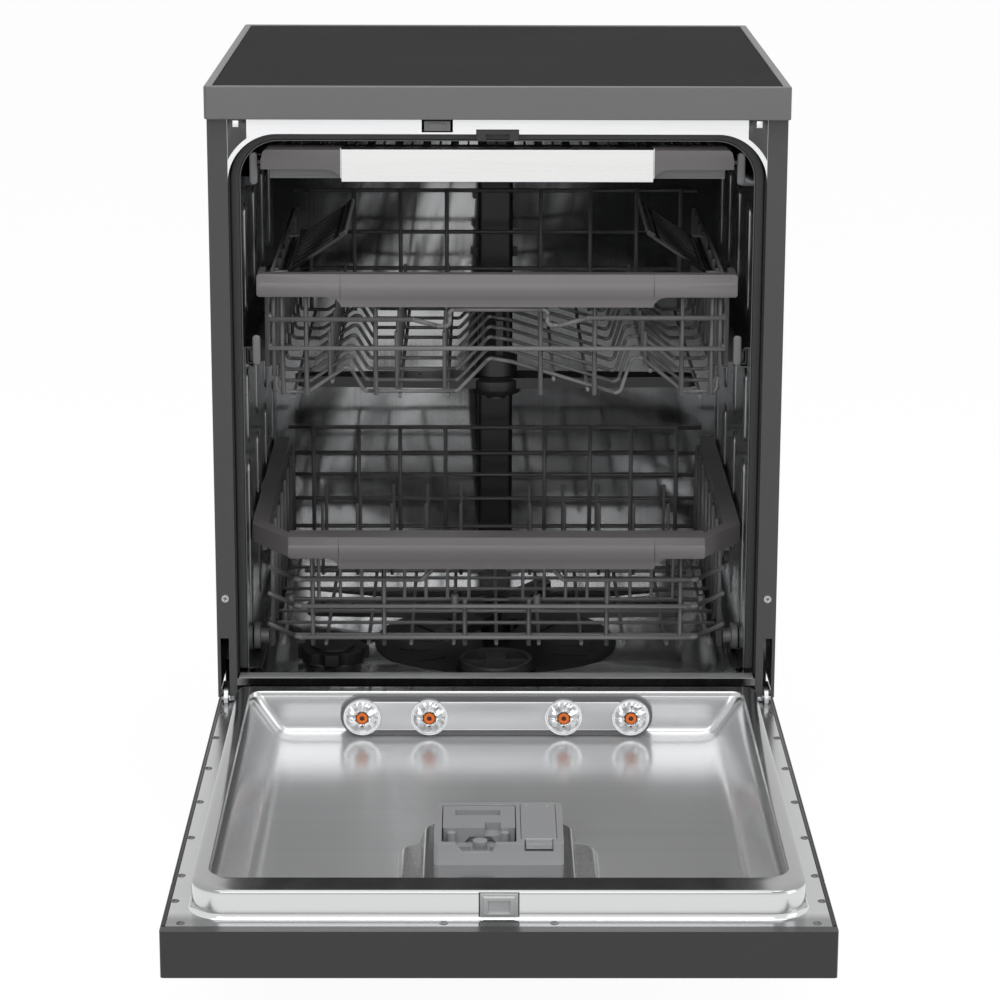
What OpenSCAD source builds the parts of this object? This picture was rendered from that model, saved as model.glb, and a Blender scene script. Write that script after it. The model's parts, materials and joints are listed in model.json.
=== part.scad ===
// Freestanding 600 mm dishwasher, shown with its door open and its racks in.
// Millimetres, +Z up, +Y to the rear. X is centred; Z = 0 is the floor.
// The modules are written from the worktop's front edge (Y = 0); at_front() moves
// them so that the origin ends up under the middle of the open machine.

/* [Cabinet] */
// Width of the worktop
body_w = 600; // [598:1:602]
// Height from the floor to the top of the worktop
body_h = 850; // [848:1:860]
// Depth of the worktop
body_d = 570; // [566:1:580]
// Height of the worktop's front band
band_h = 34; // [30:1:34]

/* [Tub] */
// Width inside the tub
tub_w = 534; // [530:1:535]
// Height of the tub's roof above the floor
roof_z = 788; // [786:1:790]
// Radius of the tub's upper corners
tub_r = 40; // [30:1:50]

/* [Door] */
// How far the open door stands in front of the worktop
door_reach = 605; // [600:1:610]
// Thickness of the door at its edge
door_t = 44; // [40:1:45]
// Height that the liner's rim stands above the door's flange
rim_h = 27; // [22:1:27]

/* [Racks] */
// Diameter of the racks' frame wires
wire_d = 5; // [4:0.5:5.5]
// Diameter of the hoops and tines
tine_d = 4; // [3:0.5:4.5]
// Height of the upper rack's floor above the ground
upper_floor_z = 519; // [519:1:523]
// Height of the lower rack's floor above the ground
lower_floor_z = 240; // [238:1:242]
// Tines in each folding row
tine_count = 8; // [4:1:9]

/* [Spray arms] */
// Length of the lower arm from its centre
lower_arm_r = 205; // [180:5:210]
// Length of the middle arm from its centre
middle_arm_r = 215; // [180:5:220]
// Length of the top arm from its centre
top_arm_r = 110; // [90:5:130]

/* [Hidden] */
$fn = 36;

// --- shared sizes -------------------------------------------------------------------
origin_y = (door_reach - body_d) / 2;   // worktop front edge, from the origin
sheet = 1;                              // formed steel sheet
hairline = 0.05;                        // left between pieces that are welded or clipped
run_fit = 0.05;                         // radial clearance of a turning fit

side_x = body_w / 2 - 1.5;              // outer face of a side panel
flange_y = 15;                          // front face of the cabinet's flanges
mouth_x = 278;                          // half width of the cabinet's mouth
mouth_r = tub_r + 11;
tub_x = tub_w / 2;
tub_back_y = 545;
gasket_y = 42.3;
worktop_z = body_h - band_h;
case_back_y = body_d - 5;
base_z = 20;                            // underside of the base
base_top_z = 98;
base_front_y = 50;

pivot_y = 18.5;                         // the door's hinge line
pivot_z = 189.5;
door_x = 299;                           // half width of the door
flange_z = 185;                         // liner flange, door open
outer_z = flange_z - door_t;            // outer face of the door, facing down when open
rim_z = flange_z + rim_h;
door_end_y = 88.5;                      // end of the door behind the hinge
sweep_r = 90;                           // room for the door's lower end as it turns
fascia_y = -490;                        // where the control panel meets the outer panel

sump_y = 235;                           // centre of the sump
sump_r = 138;
cup_y = 142;                            // centre of the filter cup
cup_r = 40;
salt_pos = [-182, 165];
arm_y = 270;                            // centre of the spray arms

floor_line = [                          // the tub floor's top surface, from lip to rear
  [16, 212], [34, 212], [52, 199], [95, 190], [160, 184], [330, 182], [440, 186], [545, 205]
];

// --- colours ------------------------------------------------------------------------
c_paint = [0.24, 0.24, 0.25];
c_band = [0.36, 0.36, 0.36];
c_steel = [0.72, 0.73, 0.74];
c_dark = [0.09, 0.09, 0.10];
c_wire = [0.36, 0.35, 0.36];
c_grip = [0.43, 0.41, 0.42];
c_alu = [0.80, 0.80, 0.79];
c_grey = [0.52, 0.52, 0.53];
c_clear = [0.85, 0.88, 0.90];
c_zinc = [0.62, 0.64, 0.66];

// --- helpers ------------------------------------------------------------------------
module at_front() translate([0, origin_y, 0]) children();

module both_sides() {
  children();
  mirror([1, 0, 0]) children();
}

// Box between two corners
module block(lo, hi) translate(lo) cube(hi - lo);

// Rectangle with round corners between two corners, drawn flat
module rounded(lo, hi, r) {
  translate([lo.x + r, lo.y]) square([hi.x - lo.x - 2 * r, hi.y - lo.y]);
  translate([lo.x, lo.y + r]) square([hi.x - lo.x, hi.y - lo.y - 2 * r]);
  for (x = [lo.x + r, hi.x - r], y = [lo.y + r, hi.y - r]) translate([x, y]) circle(r);
}

// Box whose upright edges are round
module rounded_block(lo, hi, r) {
  translate([0, 0, lo.z])
    linear_extrude(hi.z - lo.z) rounded([lo.x, lo.y], [hi.x, hi.y], r);
}

// Stands a flat XZ outline up and gives it depth from y0 to y1
module upright(y0, y1) {
  translate([0, y1, 0]) rotate([90, 0, 0]) linear_extrude(y1 - y0) children();
}

// Gives a flat YZ outline width from x0 to x1
module across(x0, x1) {
  translate([x0, 0, 0]) rotate([90, 0, 90]) linear_extrude(x1 - x0) children();
}

// Straight round bar between two points
module bar(a, b, d) {
  v = b - a;
  translate(a) rotate([0, acos(v.z / norm(v)), atan2(v.y, v.x)]) cylinder(h = norm(v), d = d);
}

function turn_at(a, b, c) =
  let (u = b - a, w = c - b) atan2(u.x * w.y - u.y * w.x, u * w);
function trim_at(p, i, r) =
  (i <= 0 || i >= len(p) - 1) ? 0 : r * tan(abs(turn_at(p[i - 1], p[i], p[i + 1])) / 2);

// Wire bent in the flat XY plane through the points p, with bends of radius r.
// A bend is a hair thicker than the wire, and the straights run a little way into it.
module bent_wire(p, d, r) {
  tuck = 0.3;
  for (i = [0 : len(p) - 2]) {
    v = (p[i + 1] - p[i]) / norm(p[i + 1] - p[i]);
    from = trim_at(p, i, r) - (i > 0 ? tuck : 0);
    upto = norm(p[i + 1] - p[i]) - trim_at(p, i + 1, r) + (i < len(p) - 2 ? tuck : 0);
    translate([p[i].x + v.x * from, p[i].y + v.y * from, 0]) rotate([0, 90, atan2(v.y, v.x)])
      cylinder(h = upto - from, d = d);
  }
  for (i = [1 : len(p) - 2]) {
    v = (p[i] - p[i - 1]) / norm(p[i] - p[i - 1]);
    turn = turn_at(p[i - 1], p[i], p[i + 1]);
    start = p[i] - v * trim_at(p, i, r);
    centre = start + [-v.y, v.x] * sign(turn) * r;
    first = atan2(start.y - centre.y, start.x - centre.x);
    translate([centre.x, centre.y, 0]) rotate([0, 0, min(first, first + turn)])
      rotate_extrude(angle = abs(turn)) translate([r, 0]) circle(d = d * 1.03);
  }
}

// Shape of the mouth or the tub: straight sides, round upper corners, open at the bottom
module mouth_outline(half_w, top_z, r, bottom_z) {
  difference() {
    rounded([-half_w, bottom_z - 2 * r], [half_w, top_z], r);
    translate([-half_w - 1, bottom_z - 3 * r]) square([2 * half_w + 2, 3 * r]);
  }
}

// --- cabinet ------------------------------------------------------------------------
module worktop_frame() color(c_band) at_front() {
  edge = 8;
  ledge = 26;
  difference() {
    rounded_block([-body_w / 2, 0, worktop_z], [body_w / 2, body_d, body_h], 4);
    block([edge - body_w / 2, edge, worktop_z + 6], [body_w / 2 - edge, body_d - edge, body_h + 1]);
    block([ledge - body_w / 2, 60, worktop_z - 1],
      [body_w / 2 - ledge, body_d - ledge, worktop_z + 7]);
  }
}

module worktop_panel() color(c_dark) at_front() {
  edge = 8.5;
  rounded_block([edge - body_w / 2, edge, worktop_z + 6],
    [body_w / 2 - edge, body_d - edge, body_h - 0.8], 3);
}

module side_panels() color(c_paint) at_front() both_sides() {
  slot_top_z = 257;
  // skin, cut away round the hinge line so that the door's lower end can swing in
  difference() {
    block([side_x - sheet, flange_y, base_z], [side_x, case_back_y, worktop_z]);
    block([side_x - 2, 0, 0], [side_x + 1, base_front_y, pivot_z]);
    intersection() {
      translate([side_x - 2, pivot_y, pivot_z]) rotate([0, 90, 0]) cylinder(h = 3, r = sweep_r);
      block([side_x - 2, 0, 0], [side_x + 1, 200, pivot_z + 1.5]);
    }
  }
  // front flange with the hinge slot, and its return into the mouth
  difference() {
    block([mouth_x, flange_y, pivot_z + 1.5], [side_x - sheet, flange_y + sheet, worktop_z]);
    block([286, flange_y - 1, pivot_z], [295, flange_y + 2, slot_top_z]);
    translate([289, flange_y - 1, 301]) rotate([-90, 0, 0]) cylinder(h = 3, r = 2.6);
  }
  block([mouth_x, flange_y + sheet, pivot_z + 1.5], [mouth_x + sheet, gasket_y + 10, worktop_z]);
  // rear flange
  block([280, case_back_y - sheet, base_z], [side_x - sheet, case_back_y, worktop_z]);
}

module rear_panel() color(c_zinc) at_front() {
  rib_w = 14;
  difference() {
    union() {
      block([-296, case_back_y - 2 * sheet, 92], [296, case_back_y - sheet, worktop_z]);
      // pressed stiffening beads
      for (x = [-200, -100, 100, 200])
        rounded_block([x - rib_w / 2, case_back_y - 7, 200], [x + rib_w / 2, case_back_y - 1.5, 760], 2);
    }
    // vents near the top, and a window over the hose outlets
    for (x = [-150, -50, 50, 150])
      block([x - 25, case_back_y - 9, 780], [x + 25, case_back_y, 786]);
    block([60, case_back_y - 9, 100], [260, case_back_y, 150]);
  }
}

module foot_boss(pos) translate([pos.x, pos.y, 13.4]) cylinder(h = 60, r = 13);
module foot_bore(pos) translate([pos.x, pos.y, 12]) cylinder(h = 70, r = 5 + run_fit);

foot_x = 262;
foot_front_y = 92;
foot_rear_y = 525;
feet = [[-foot_x, foot_front_y], [foot_x, foot_front_y], [0, foot_rear_y]];
inlet_x = 205;
drain_x = 120;
port_z = 62;

module base_tray() color(c_dark) at_front() {
  half_w = side_x - sheet;
  back = case_back_y - 2 * sheet;
  wall = 3;
  difference() {
    union() {
      difference() {
        block([-half_w, base_front_y, base_z], [half_w, back, base_top_z]);
        block([-half_w + wall, base_front_y + wall, base_z + wall],
          [half_w - wall, back - wall, base_top_z + 1]);
      }
      for (pos = feet) foot_boss(pos);
      // cross ribs under the pumps
      for (y = [120, 320, 460]) block([-half_w + 1, y, base_z + 1], [half_w - 1, y + wall, 34]);
      // gland for the supply lead
      translate([-120, back - 8, port_z]) rotate([-90, 0, 0]) cylinder(h = 11, r = 9);
    }
    for (pos = feet) foot_bore(pos);
    // hose and lead openings in the rear wall
    translate([inlet_x, back - 5, port_z]) rotate([-90, 0, 0]) cylinder(h = 10, r = 17);
    translate([drain_x, back - 5, port_z]) rotate([-90, 0, 0]) cylinder(h = 10, r = 13);
    translate([-120, back - 10, port_z]) rotate([-90, 0, 0]) cylinder(h = 20, r = 4);
  }
}

module plinth() color(c_paint) at_front() {
  difference() {
    union() {
      block([-side_x + 1, base_front_y - 1.2, 12], [side_x - 1, base_front_y, base_top_z]);
      for (z = [30, 80]) block([-side_x + 1, base_front_y - 3, z], [side_x - 1, base_front_y - 1, z + 1.5]);
    }
    for (i = [-3 : 3]) block([i * 24 - 8, base_front_y - 5, 50], [i * 24 + 8, base_front_y + 1, 54]);
  }
}

module foot(pos) color(c_dark) at_front() translate([pos.x, pos.y, 0]) {
  rotate_extrude()
    polygon([[0, 0], [17, 0], [19, 2], [19, 6], [12, 12], [9, 13], [0, 13]]);
  cylinder(h = 65, r = 5);
}
module front_left_foot() foot(feet[0]);
module front_right_foot() foot(feet[1]);
module rear_foot() foot(feet[2]);

module top_front_rail() color(c_steel) at_front() {
  rail_z = roof_z + 11;
  difference() {
    union() {
      upright(flange_y + sheet, flange_y + 2 * sheet) difference() {
        translate([-mouth_x, roof_z - 45]) square([2 * mouth_x, worktop_z - roof_z + 45]);
        mouth_outline(mouth_x, rail_z, mouth_r, 500);
      }
      // stiffening return along the top
      block([-mouth_x, flange_y + sheet, worktop_z - sheet], [mouth_x, 60, worktop_z]);
      // lip that follows the mouth over the gasket
      block([-mouth_x + mouth_r, flange_y + sheet, rail_z], [mouth_x - mouth_r, gasket_y, rail_z + sheet]);
    }
    for (x = [-267, 267]) block([x - 4, 0, 805], [x + 4, 40, 813]);
    block([-78, 0, 801], [-46, 60, 814]);          // opening for the pusher
    block([-22, 0, 790], [22, 61, rail_z + 5]);    // opening for the latch
  }
}

module door_latch() color(c_dark) at_front() {
  difference() {
    union() {
      block([-21.5, 14.6, 792], [21.5, gasket_y - 0.4, 803.5]);
      block([-32, flange_y + 2 * sheet, 803], [32, 62, worktop_z - sheet]);
    }
    // jaw that takes the strike
    block([-12, 10, 790], [12, 50, 799]);
  }
}

module door_pusher() color(c_grey) at_front() {
  block([-75.5, 15.4, 802.5], [-48.5, 70, 812.5]);
  block([-71, 14.6, 804.5], [-53, 15.5, 810.5]);
}

// --- tub ----------------------------------------------------------------------------
module tub_side_walls() color(c_steel) at_front() both_sides() {
  bend_z = roof_z - tub_r;
  wall_foot_z = flange_z + 0.5;          // just above the open door's flange
  upright(gasket_y + 0.2, tub_back_y) {
    translate([tub_x, wall_foot_z]) square([sheet, bend_z - wall_foot_z]);
    intersection() {
      translate([tub_x - tub_r, bend_z]) difference() {
        circle(tub_r + sheet);
        circle(tub_r);
      }
      translate([tub_x - tub_r, bend_z]) square(tub_r + 5);
    }
  }
}

module tub_roof() color(c_steel) at_front()
  block([tub_r - tub_x, gasket_y + 0.2, roof_z], [tub_x - tub_r, tub_back_y, roof_z + sheet]);

module tub_back_wall() color(c_steel) at_front()
  upright(tub_back_y, tub_back_y + sheet)
    mouth_outline(tub_x + sheet, roof_z + sheet, tub_r + sheet, 190);

module tub_floor() color(c_steel) at_front() {
  under = [for (i = [len(floor_line) - 1 : -1 : 0]) floor_line[i] - [0, sheet]];
  difference() {
    union() {
      across(-tub_x, tub_x) polygon(concat(floor_line, under));
      // front lip, as wide as the mouth
      block([-mouth_x, 16, 211], [mouth_x, 34, 212]);
      block([-mouth_x, 16, 204], [mouth_x, 17, 211.5]);
    }
    translate([0, sump_y, 150]) cylinder(h = 60, r = sump_r);
    translate([salt_pos.x, salt_pos.y, 150]) cylinder(h = 60, r = 32);
  }
}

module door_gasket() color(c_dark) at_front() {
  upright(gasket_y, gasket_y + 9) difference() {
    mouth_outline(mouth_x, roof_z + 11, mouth_r, 214);
    mouth_outline(tub_x + sheet, roof_z + sheet, tub_r + sheet, 210);
  }
}

runner_z = 556;                          // height of the upper rack's runners
module rack_rails() color(c_steel) at_front() both_sides() {
  // channel for the upper rack's telescopic runner
  difference() {
    block([258.5, 56, runner_z - 11], [tub_x, 520, runner_z + 11]);
    block([257, 50, runner_z - 9.3], [tub_x - 1.5, 530, runner_z + 9.3]);
  }
  // channel for the cutlery tray, on a bracket below the tub's bend
  difference() {
    block([247, 66, 757], [257.5, 500, 771]);
    block([246, 60, 758.5], [256, 510, 769.5]);
  }
  block([255, 66, 744], [257.5, 500, 757.2]);
  block([255, 66, 738], [tub_x, 500, 747]);
  // ledge that the lower rack's wheels run on
  block([254, 56, 209.5], [tub_x, 520, 211.7]);
  block([262, 75, 199], [tub_x, 490, 209.7]);
}

module water_duct() color(c_dark) at_front() {
  back = tub_back_y;
  // upright duct on the rear wall
  rounded_block([-21, back - 24, 205.2], [21, back, 760], 6);
  // branch along the roof to the top arm
  block([-15, arm_y - 12, 779], [15, back, roof_z]);
  block([-15, back - 24, 755], [15, back, 780]);
  translate([0, arm_y, 775]) cylinder(h = 13, r = 15);
  // spindle that carries the top arm
  translate([0, arm_y, 764]) cylinder(h = 14, r = 6);
  translate([0, arm_y, 761]) cylinder(h = 3, r = 10);
  // clips, and the port that feeds the middle arm
  for (z = [575, 610, 645]) block([-27, back - 9, z], [27, back, z + 10]);
  translate([0, back - 28, 503]) rotate([-90, 0, 0]) cylinder(h = 20, r = 16);
  // foot on the tub floor
  block([-30, back - 32, 205.2], [30, back, 216]);
}

module sump_housing() color(c_dark) at_front() {
  wall = 2.5;
  well_r = cup_r + 3;
  difference() {
    union() {
      translate([0, sump_y, 0]) rotate_extrude()
        polygon([[0, 140], [62, 140], [sump_r - 2, 174], [sump_r - 0.2, 176], [sump_r - 0.2, 183], [0, 183]]);
      translate([0, cup_y, 92]) cylinder(h = 83.8, r = well_r);
    }
    translate([0, sump_y, 0]) rotate_extrude()
      polygon([[0, 140 + wall], [60, 140 + wall], [sump_r - 4, 174 + wall], [sump_r - 4, 190], [0, 190]]);
    translate([0, cup_y, 94]) cylinder(h = 84, r = well_r - 2);
    // the flat filter's collar drops through the rim
    translate([0, cup_y, 175.9]) cylinder(h = 10, r = cup_r + 5);
  }
  // post that carries the lower arm
  translate([0, arm_y, 141]) cylinder(h = 57, r = 17);
  translate([0, arm_y, 197]) cylinder(h = 25, r = 8);
  translate([0, arm_y, 222]) cylinder(h = 3, r = 12);
}

module flat_filter() color(c_dark) at_front() {
  difference() {
    union() {
      translate([0, sump_y, 0]) rotate_extrude()
        polygon([[0, 176], [90, 176], [sump_r - 5, 183], [sump_r - 0.5, 183], [sump_r - 0.5, 185],
          [sump_r - 6, 185], [90, 178], [0, 178]]);
      // collar that the filter cup locks in
      translate([0, cup_y, 176]) cylinder(h = 9, r = cup_r + 4);
    }
    translate([0, cup_y, 170]) cylinder(h = 30, r = cup_r + run_fit);
    translate([0, arm_y, 170]) cylinder(h = 30, r = 17.5);
    // drain slots
    for (a = [0 : 24 : 336]) if (abs(a - 270) > 50) translate([0, sump_y, 0]) rotate([0, 0, a])
      block([70, -1.5, 170], [112, 1.5, 190]);
  }
}

module filter_cup() color(c_dark) at_front() translate([0, cup_y, 0]) {
  difference() {
    translate([0, 0, 94.3]) cylinder(h = 99.7, r = cup_r);
    translate([0, 0, 98]) cylinder(h = 100, r = cup_r - 4);
    // mesh windows
    for (a = [0 : 60 : 300]) rotate([0, 0, a]) block([20, -9, 108], [50, 9, 168]);
  }
  // grip: a bar across the mouth with a trapezoid boss
  block([-cup_r + 2, -4, 184], [cup_r - 2, 4, 192]);
  upright(-9, 9) polygon([[-15, 182], [15, 182], [10, 197], [-10, 197]]);
}

module salt_cap() color(c_dark) at_front() translate([salt_pos.x, salt_pos.y, 0]) {
  lobes = 8;
  difference() {
    translate([0, 0, 188]) cylinder(h = 13, r = 40);
    for (i = [0 : lobes - 1]) rotate([0, 0, (i + 0.5) * 360 / lobes]) translate([44, 0, 187])
      cylinder(h = 20, r = 9);
  }
  translate([0, 0, 200.5]) cylinder(h = 3, r = 24);
  translate([0, 0, 176]) cylinder(h = 12.5, r = 24);
}

// --- machine space under the tub ----------------------------------------------------
module circulation_pump() color(c_grey) at_front() {
  axis = [88, 0, 84];
  translate([axis.x, 262, axis.z]) rotate([-90, 0, 0]) {
    cylinder(h = 26, r = 48);
    cylinder(h = 130, r = 38);
    for (i = [0 : 3]) translate([0, 0, 45 + i * 20]) cylinder(h = 6, r = 41);
    translate([0, 0, 130]) cylinder(h = 12, r = 20);
  }
  // suction and delivery pipes up to the sump
  translate([axis.x, 250, axis.z]) rotate([-90, 0, 0]) cylinder(h = 14, r = 20);
  translate([axis.x - 30, 275, axis.z]) cylinder(h = 139.9 - axis.z, r = 13);
  block([axis.x - 28, 275, base_z + 14], [axis.x + 28, 375, base_z + 30]);
}

module drain_pump() color(c_grey) at_front() {
  // pump body beside the sump's well
  translate([-120, cup_y, 62]) rotate([0, 90, 0]) cylinder(h = 55, r = 27);
  translate([-66, cup_y, 62]) rotate([0, 90, 0]) cylinder(h = 12, r = 33);
  // pipe from the well's floor
  translate([-54.5, cup_y, 62]) rotate([0, 90, 0]) cylinder(h = 40, r = 9);
  translate([-20, cup_y, 50]) cylinder(h = 41.9, r = 10);
  block([-118, cup_y - 20, 34], [-70, cup_y + 20, 45]);
}

module steam_generator() color(c_zinc) at_front() {
  rounded_block([-286, 345, 23], [-176, 445, 118], 12);
  translate([-230, 395, 118]) cylinder(h = 22, r = 7);
  translate([-200, 395, 118]) cylinder(h = 14, r = 5);
  for (z = [55, 75, 95]) rounded_block([-288, 343, z], [-174, 447, z + 4], 13);
}

module water_softener() color(c_clear) at_front() {
  rounded_block([-288, 118, 34], [-136, 300, 160], 14);
  difference() {
    translate([salt_pos.x, salt_pos.y, 159]) cylinder(h = 28.6, r = 31);
    translate([salt_pos.x, salt_pos.y, 165]) cylinder(h = 30, r = 25);
  }
}

module inlet_valve() color(c_clear) at_front() {
  // drain spigot and inlet spigot share one rear block
  block([drain_x - 24, 478, 23], [inlet_x + 24, 530, 92]);
  translate([inlet_x, 528, port_z]) rotate([-90, 0, 0]) cylinder(h = 40, r = 13.2);
  translate([drain_x, 528, port_z]) rotate([-90, 0, 0]) difference() {
    cylinder(h = 40, r = 9.5);
    translate([0, 0, 6]) cylinder(h = 40, r = 7);
  }
  translate([inlet_x, 500, 90]) cylinder(h = 36, r = 16);
}

module hinge_springs() color(c_zinc) at_front() both_sides() {
  // bracket with the hinge pin
  difference() {
    block([281, 16.2, pivot_z - 3.5], [284.5, 112, 262]);
    block([280, 60, 150], [286, 113, 205]);
  }
  translate([281, pivot_y, pivot_z]) rotate([0, 90, 0]) cylinder(h = 14, r = 4);
  block([281, 104, 205], [297, 112, 262]);
  // closed-coil tension spring behind it
  translate([283, 111, 232]) rotate([-90, 0, 0]) rotate_extrude() {
    square([7, 148]);
    for (i = [0 : 36]) translate([7, 2 + i * 4]) circle(r = 1.95);
  }
}

// --- door, open ---------------------------------------------------------------------
module door_outer_panel() color(c_paint) at_front() {
  difference() {
    rounded_block([-door_x, fascia_y + 0.4, outer_z], [door_x, door_end_y, flange_z], 2);
    block([-door_x + sheet, fascia_y - 1, outer_z + sheet],
      [door_x - sheet, door_end_y - sheet, flange_z + 1]);
  }
}

module door_fascia() color(c_paint) at_front() {
  wall = 3;
  handle_y = -548;
  difference() {
    rounded_block([-door_x, -door_reach, outer_z], [door_x, fascia_y, flange_z], 3);
    // hollow inside, and the step that takes the liner's flange
    block([-door_x + 1.2, -door_reach + wall, outer_z + wall], [door_x - 1.2, fascia_y + 1, flange_z - wall]);
    block([-door_x + 1.2, -593, flange_z - wall - 1], [door_x - 1.2, fascia_y + 1, flange_z + 1]);
    // pocket handle in the outer face
    rounded_block([-95, handle_y - 22, outer_z - 1], [95, handle_y + 22, outer_z + 14], 10);
    // seat of the power button
    translate([-240, handle_y, outer_z - 1]) cylinder(h = 10, r = 9.5);
    // display window and the row of touch keys
    rounded_block([130, handle_y - 11, outer_z - 1], [200, handle_y + 11, outer_z + 1], 4);
    for (i = [0 : 3]) translate([218 + i * 19, handle_y, outer_z - 1]) cylinder(h = 2, r = 6);
  }
  // floor of the pocket handle
  difference() {
    rounded_block([-98, handle_y - 25, outer_z + 1], [98, handle_y + 25, outer_z + 17], 13);
    rounded_block([-95, handle_y - 22, outer_z - 1], [95, handle_y + 22, outer_z + 14], 10);
  }
  // guide of the power button
  difference() {
    translate([-240, handle_y, outer_z + 1]) cylinder(h = 19, r = 13);
    translate([-240, handle_y, outer_z - 1]) cylinder(h = 18, r = 9.5);
  }
}

module power_button() color(c_steel) at_front() translate([-240, -548, outer_z]) {
  translate([0, 0, 0.3]) cylinder(h = 12, r = 9.2);
}

liner_x = door_x - sheet - 0.4;
rim_x = 276;
rim_front_y = -577;
rim_back_y = -8;
pan_x = 261;
pan_front_y = -545;
pan_back_y = -28;
pan_z = 164;                             // floor of the door's pan, door open
disp_lo = [-60, -446];
disp_hi = [61, -338];

// Flat slice of the pan, with wide corners in front and tight ones at the hinges
module pan_slice(half_w, front, back, z0, z1, grow) hull() for (s = [-1, 1]) {
  translate([s * (half_w - 24), front + 24, z0]) cylinder(h = z1 - z0, r = 24 + grow, $fn = 32);
  translate([s * (half_w - 13), back - 13, z0]) cylinder(h = z1 - z0, r = 13 + grow, $fn = 32);
}

// The pan's inside: a wide mouth that narrows to the floor
module pan(grow) hull() {
  pan_slice(pan_x, pan_front_y, pan_back_y, rim_z - sheet, rim_z + (grow > 0 ? 0 : 1), grow);
  pan_slice(228, pan_front_y + 26, pan_back_y - 1, pan_z - grow, pan_z + 1, grow);
}

module door_liner() color(c_steel) at_front() {
  difference() {
    union() {
      difference() {
        union() {
          block([-liner_x, -593, flange_z - sheet], [liner_x, 62, flange_z]);
          rounded_block([-rim_x, rim_front_y, flange_z - sheet], [rim_x, rim_back_y, rim_z], 34);
        }
        rounded_block([-rim_x + sheet, rim_front_y + sheet, flange_z - 5],
          [rim_x - sheet, rim_back_y - sheet, rim_z - sheet], 33);
      }
      pan(sheet);
    }
    pan(0);
    // slots for the hinge arms' ears
    for (x = [-289.75, 289.75]) block([x - 3.25, 5, flange_z - 2], [x + 3.25, 32, flange_z + 1]);
  }
  // pressed pedestal round the dispenser
  difference() {
    pedestal(0);
    translate([0, 0, -1.2]) pedestal(1.2);
    block([disp_lo.x - 0.2, disp_lo.y - 0.2, pan_z + 6], [disp_hi.x + 0.2, disp_hi.y + 0.2, 190]);
    // the pan's front wall limits the pedestal
    block([-120, pan_front_y - 12, pan_z - 5], [120, pan_front_y + 19, 190]);
  }
}

// Sloped plinth on the pan's floor, drawn smaller all round by inset
module pedestal(inset) hull() {
  rounded_block([-94 + inset, pan_front_y + 10 + inset, pan_z - 0.5], [95 - inset, -318 - inset, pan_z + 0.5],
    20 - inset, $fn = 32);
  rounded_block([-66 + inset, pan_front_y + 18 + inset, 184], [67 - inset, -334 - inset, 186],
    10 - inset, $fn = 32);
}

module hinge_arms() color(c_zinc) at_front() both_sides() {
  difference() {
    union() {
      // strap inside the door's edge, and the ear that turns on the pin
      block([287.5, -180, 150], [292, 56, flange_z - 1.2]);
      translate([287.5, pivot_y, pivot_z]) rotate([0, 90, 0]) cylinder(h = 4.5, r = 12);
    }
    translate([286, pivot_y, pivot_z]) rotate([0, 90, 0]) cylinder(h = 8, r = 4 + run_fit);
  }
}

screw_side_y = [-22, -98, -190, -285, -380, -475, -535];
module door_screws() color(c_zinc) at_front() {
  for (x = [-291.5, 291.5], y = screw_side_y) flat_head([x, y, flange_z]);
  for (x = [-282, -49, 49, 282]) flat_head([x, -585.5, flange_z]);
}

// Flat-headed screw with a cross recess, standing on a face at pos
module flat_head(pos) translate(pos) difference() {
  union() {
    cylinder(h = 0.6, r1 = 4, r2 = 3.2);
    translate([0, 0, -6]) cylinder(h = 6.3, r = 1.7);
  }
  block([-2, -0.4, 0.2], [2, 0.4, 1]);
  block([-0.4, -2, 0.2], [0.4, 2, 1]);
}

bar_half_w = 165;
nozzle_x = [-142, -71, 71, 142];
nozzle_z = 187;
module steam_bar() color(c_grey) at_front() {
  y0 = pan_back_y - 8.2;
  difference() {
    union() {
      upright(y0, y0 + 7) rounded([-bar_half_w, 166], [bar_half_w, 209], 21);
      upright(y0 - 1.6, y0 + 1) rounded([-bar_half_w + 5, 171], [bar_half_w - 5, 204], 16);
    }
    for (x = nozzle_x) translate([x, y0 - 3, nozzle_z]) rotate([-90, 0, 0]) cylinder(h = 20, r = 12);
    upright(y0 - 2, y0 - 1) rounded([-48, 178], [48, 197], 8);
  }
}

module steam_nozzles() color(c_clear) at_front()
  for (x = nozzle_x) translate([x, pan_back_y - 1.3, nozzle_z]) rotate([90, 0, 0]) {
    difference() {
      rotate_extrude() polygon([[0, 0], [11.8, 0], [11.8, 8.5], [20, 8.7], [20, 10], [9, 14.5],
        [6, 14.5], [0, 12]]);
      for (a = [0 : 60 : 300]) rotate([0, 0, a + 30]) translate([12.5, 0, 9]) cylinder(h = 8, r = 1.6);
    }
  }

module strike_plate() color(c_grey) at_front() {
  y = rim_front_y;
  difference() {
    union() {
      block([-17, y - 1.8, 187], [17, y - 0.02, 210]);
      block([-14, y - 3.4, 190], [14, y - 1, 207]);
    }
    block([-9.5, y - 6, 192], [9.5, y - 1, 203]);
  }
}

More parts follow.
